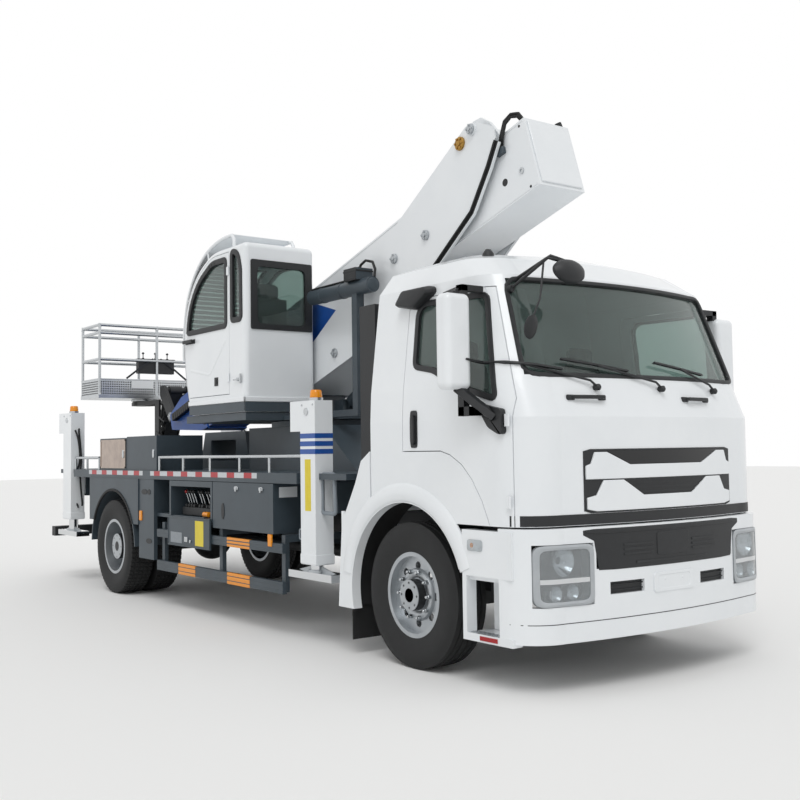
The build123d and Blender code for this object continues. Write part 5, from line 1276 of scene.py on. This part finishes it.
def seat_outline():
    """Half width and half length, as shares, of a squircle whose sides are drawn in."""
    c, s = np.cos(AROUND), np.sin(AROUND)
    power = np.abs(c) ** SQUARENESS + np.abs(s) ** SQUARENESS
    square = (1.0 - 0.020 * np.cos(2 * AROUND) ** 2) / power ** (1 / SQUARENESS)
    return square * c, square * s


def cushion(centre, half, lie):
    """A pillow over a rounded rectangle, crowned above, with sewn lines pressed in.

    Its rings shrink by a power of the cosine of their latitude. lie says
    which way the pad faces: up, front or rear.
    """
    latitude = np.linspace(-np.pi / 2 + 0.02, np.pi / 2 - 0.02, 23)
    across, along = seat_outline()
    spread = np.abs(np.cos(latitude))[:, None] ** 0.34
    rise = (np.sign(np.sin(latitude)) * np.abs(np.sin(latitude)) ** 0.85)[:, None]
    u, v = spread * across[None, :], spread * along[None, :]
    dome = CROWN * np.clip(1 - u ** 2, 0, 1) * np.clip(1 - v ** 2, 0, 1)
    sewn = 0.006 * np.exp(-((np.abs(v) - 0.62) / 0.035) ** 2)
    sewn = sewn + 0.004 * np.exp(-((np.abs(u) - 0.55) / 0.03) ** 2)
    w = half[2] * rise + np.where(rise > 0, dome - sewn * spread, 0)
    local = np.stack([u * half[0], v * half[1], w], axis=-1).reshape(-1, 3)
    if lie != "up":
        local = local[:, [2, 1, 0]] * (1 if lie == "front" else -1, 1, 1)
    return local + np.asarray(centre), grid_faces(23, 72, wrap_cols=True)


def piping(centre, half, lie):
    """The sewn cord along a cushion's widest line."""
    across, along = seat_outline()
    ring = np.column_stack([half[0] * across, half[1] * along, 0 * along])
    if lie != "up":
        ring = ring[:, [2, 1, 0]]
    return pipe(ring + np.asarray(centre), 0.005, (0, 0, 1) if lie == "up" else (1, 0, 0), 8, closed=True)


def seat(name, body, pads, frames):
    """Padded cushions with their cords, then the frame, which is returned."""
    for part_name, centre, half, lie in pads:
        pad = piece(name + "_" + part_name, [cushion(centre, half, lie)], fabric, body, angle=70)
        piece(name + "_" + part_name + "_cord", [piping(centre, half, lie)], plastic, body, angle=70)
    return piece(name + "_frame", frames, plastic, body, bevel=0.008, angle=50)


made = seat("operator_seat", "turret",
            [("cushion", (0.080, -0.720, 2.385), (0.250, 0.235, 0.062), "up"),
             ("back", (0.275, -0.720, 2.765), (0.305, 0.225, 0.050), "rear"),
             ("rest", (0.292, -0.720, 3.115), (0.070, 0.130, 0.040), "rear"),
             ("arm_right", (-0.020, -1.005, 2.500), (0.165, 0.028, 0.026), "up"),
             ("arm_left", (-0.020, -0.435, 2.500), (0.165, 0.028, 0.026), "up")],
            bricks(((-0.110, -0.930, 1.978), (0.300, -0.510, 2.060)),
                   ((-0.060, -0.880, 2.055), (0.250, -0.560, 2.300)),
                   ((-0.140, -0.940, 2.295), (0.330, -0.500, 2.335)),
                   ((0.315, -0.920, 2.330), (0.348, -0.520, 3.040)),
                   ((-0.170, -1.026, 2.330), (0.130, -0.984, 2.478)),
                   ((-0.170, -0.456, 2.330), (0.130, -0.414, 2.478)),
                   ((0.290, -0.790, 3.040), (0.312, -0.775, 3.110)),
                   ((0.290, -0.665, 3.040), (0.312, -0.650, 3.110))))
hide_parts("operator_seat")
for side_name, side in SIDES:
    y = side * 0.620
    seat("crew_seat_" + side_name, "chassis",
         [("cushion", (3.425, y, 1.555), (0.230, 0.240, 0.075), "up"),
          ("back", (3.160, y, 1.930), (0.315, 0.235, 0.062), "front"),
          ("rest", (3.150, y, 2.300), (0.075, 0.130, 0.045), "front")],
         bricks(((3.230, y - 0.210, 1.284), (3.660, y + 0.210, 1.440)),
                ((3.190, y - 0.240, 1.435), (3.640, y + 0.240, 1.500)),
                ((3.084, y - 0.220, 1.500), (3.116, y + 0.220, 2.200)),
                ((3.140, y - 0.070, 2.200), (3.155, y - 0.058, 2.290)),
                ((3.140, y + 0.058, 2.200), (3.155, y + 0.070, 2.290))))

# A moulded dashboard spans the cab under the screen, with a hooded dial panel
# and a two-spoke wheel on the driver's side.
dash = [prism([(4.200, 1.285), (4.085, 1.285), (4.080, 1.500), (4.086, 1.700), (4.115, 1.795), (4.190, 1.850),
               (4.286, 1.856), (4.286, 1.520), (4.200, 1.500)], "Y", -0.995, 0.995),
        prism([(4.120, 1.780), (4.085, 1.905), (4.110, 1.925), (4.230, 1.880), (4.260, 1.840)], "Y", 0.400,
              0.840)]
made = piece("dashboard", dash, plastic, bevel=0.012, angle=50)
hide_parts("cab_fittings")
hub, across, upward = np.array((3.920, 0.620, 1.900)), np.array((0, 1.0, 0)), np.array((0.5, 0, 0.866))
turn = np.linspace(0, 2 * np.pi, 49)[:-1]
rim = hub + 0.205 * (np.cos(turn)[:, None] * across + np.sin(turn)[:, None] * upward)
column = np.array((0.866, 0, -0.5))
boss = hub + 0.02 * column
wheel = [pipe(rim, 0.014, -column, closed=True),
         pipe(np.stack([hub, hub + 0.10 * column, hub + 0.24 * column]), 0.030, across),
         pipe(np.stack([hub - 0.20 * across + 0.01 * column, boss, hub + 0.20 * across + 0.01 * column]),
              0.012, upward),
         pipe(np.stack([hub - 0.20 * upward, boss]), 0.012, across)]
piece("steering_wheel", wheel, plastic, angle=60)
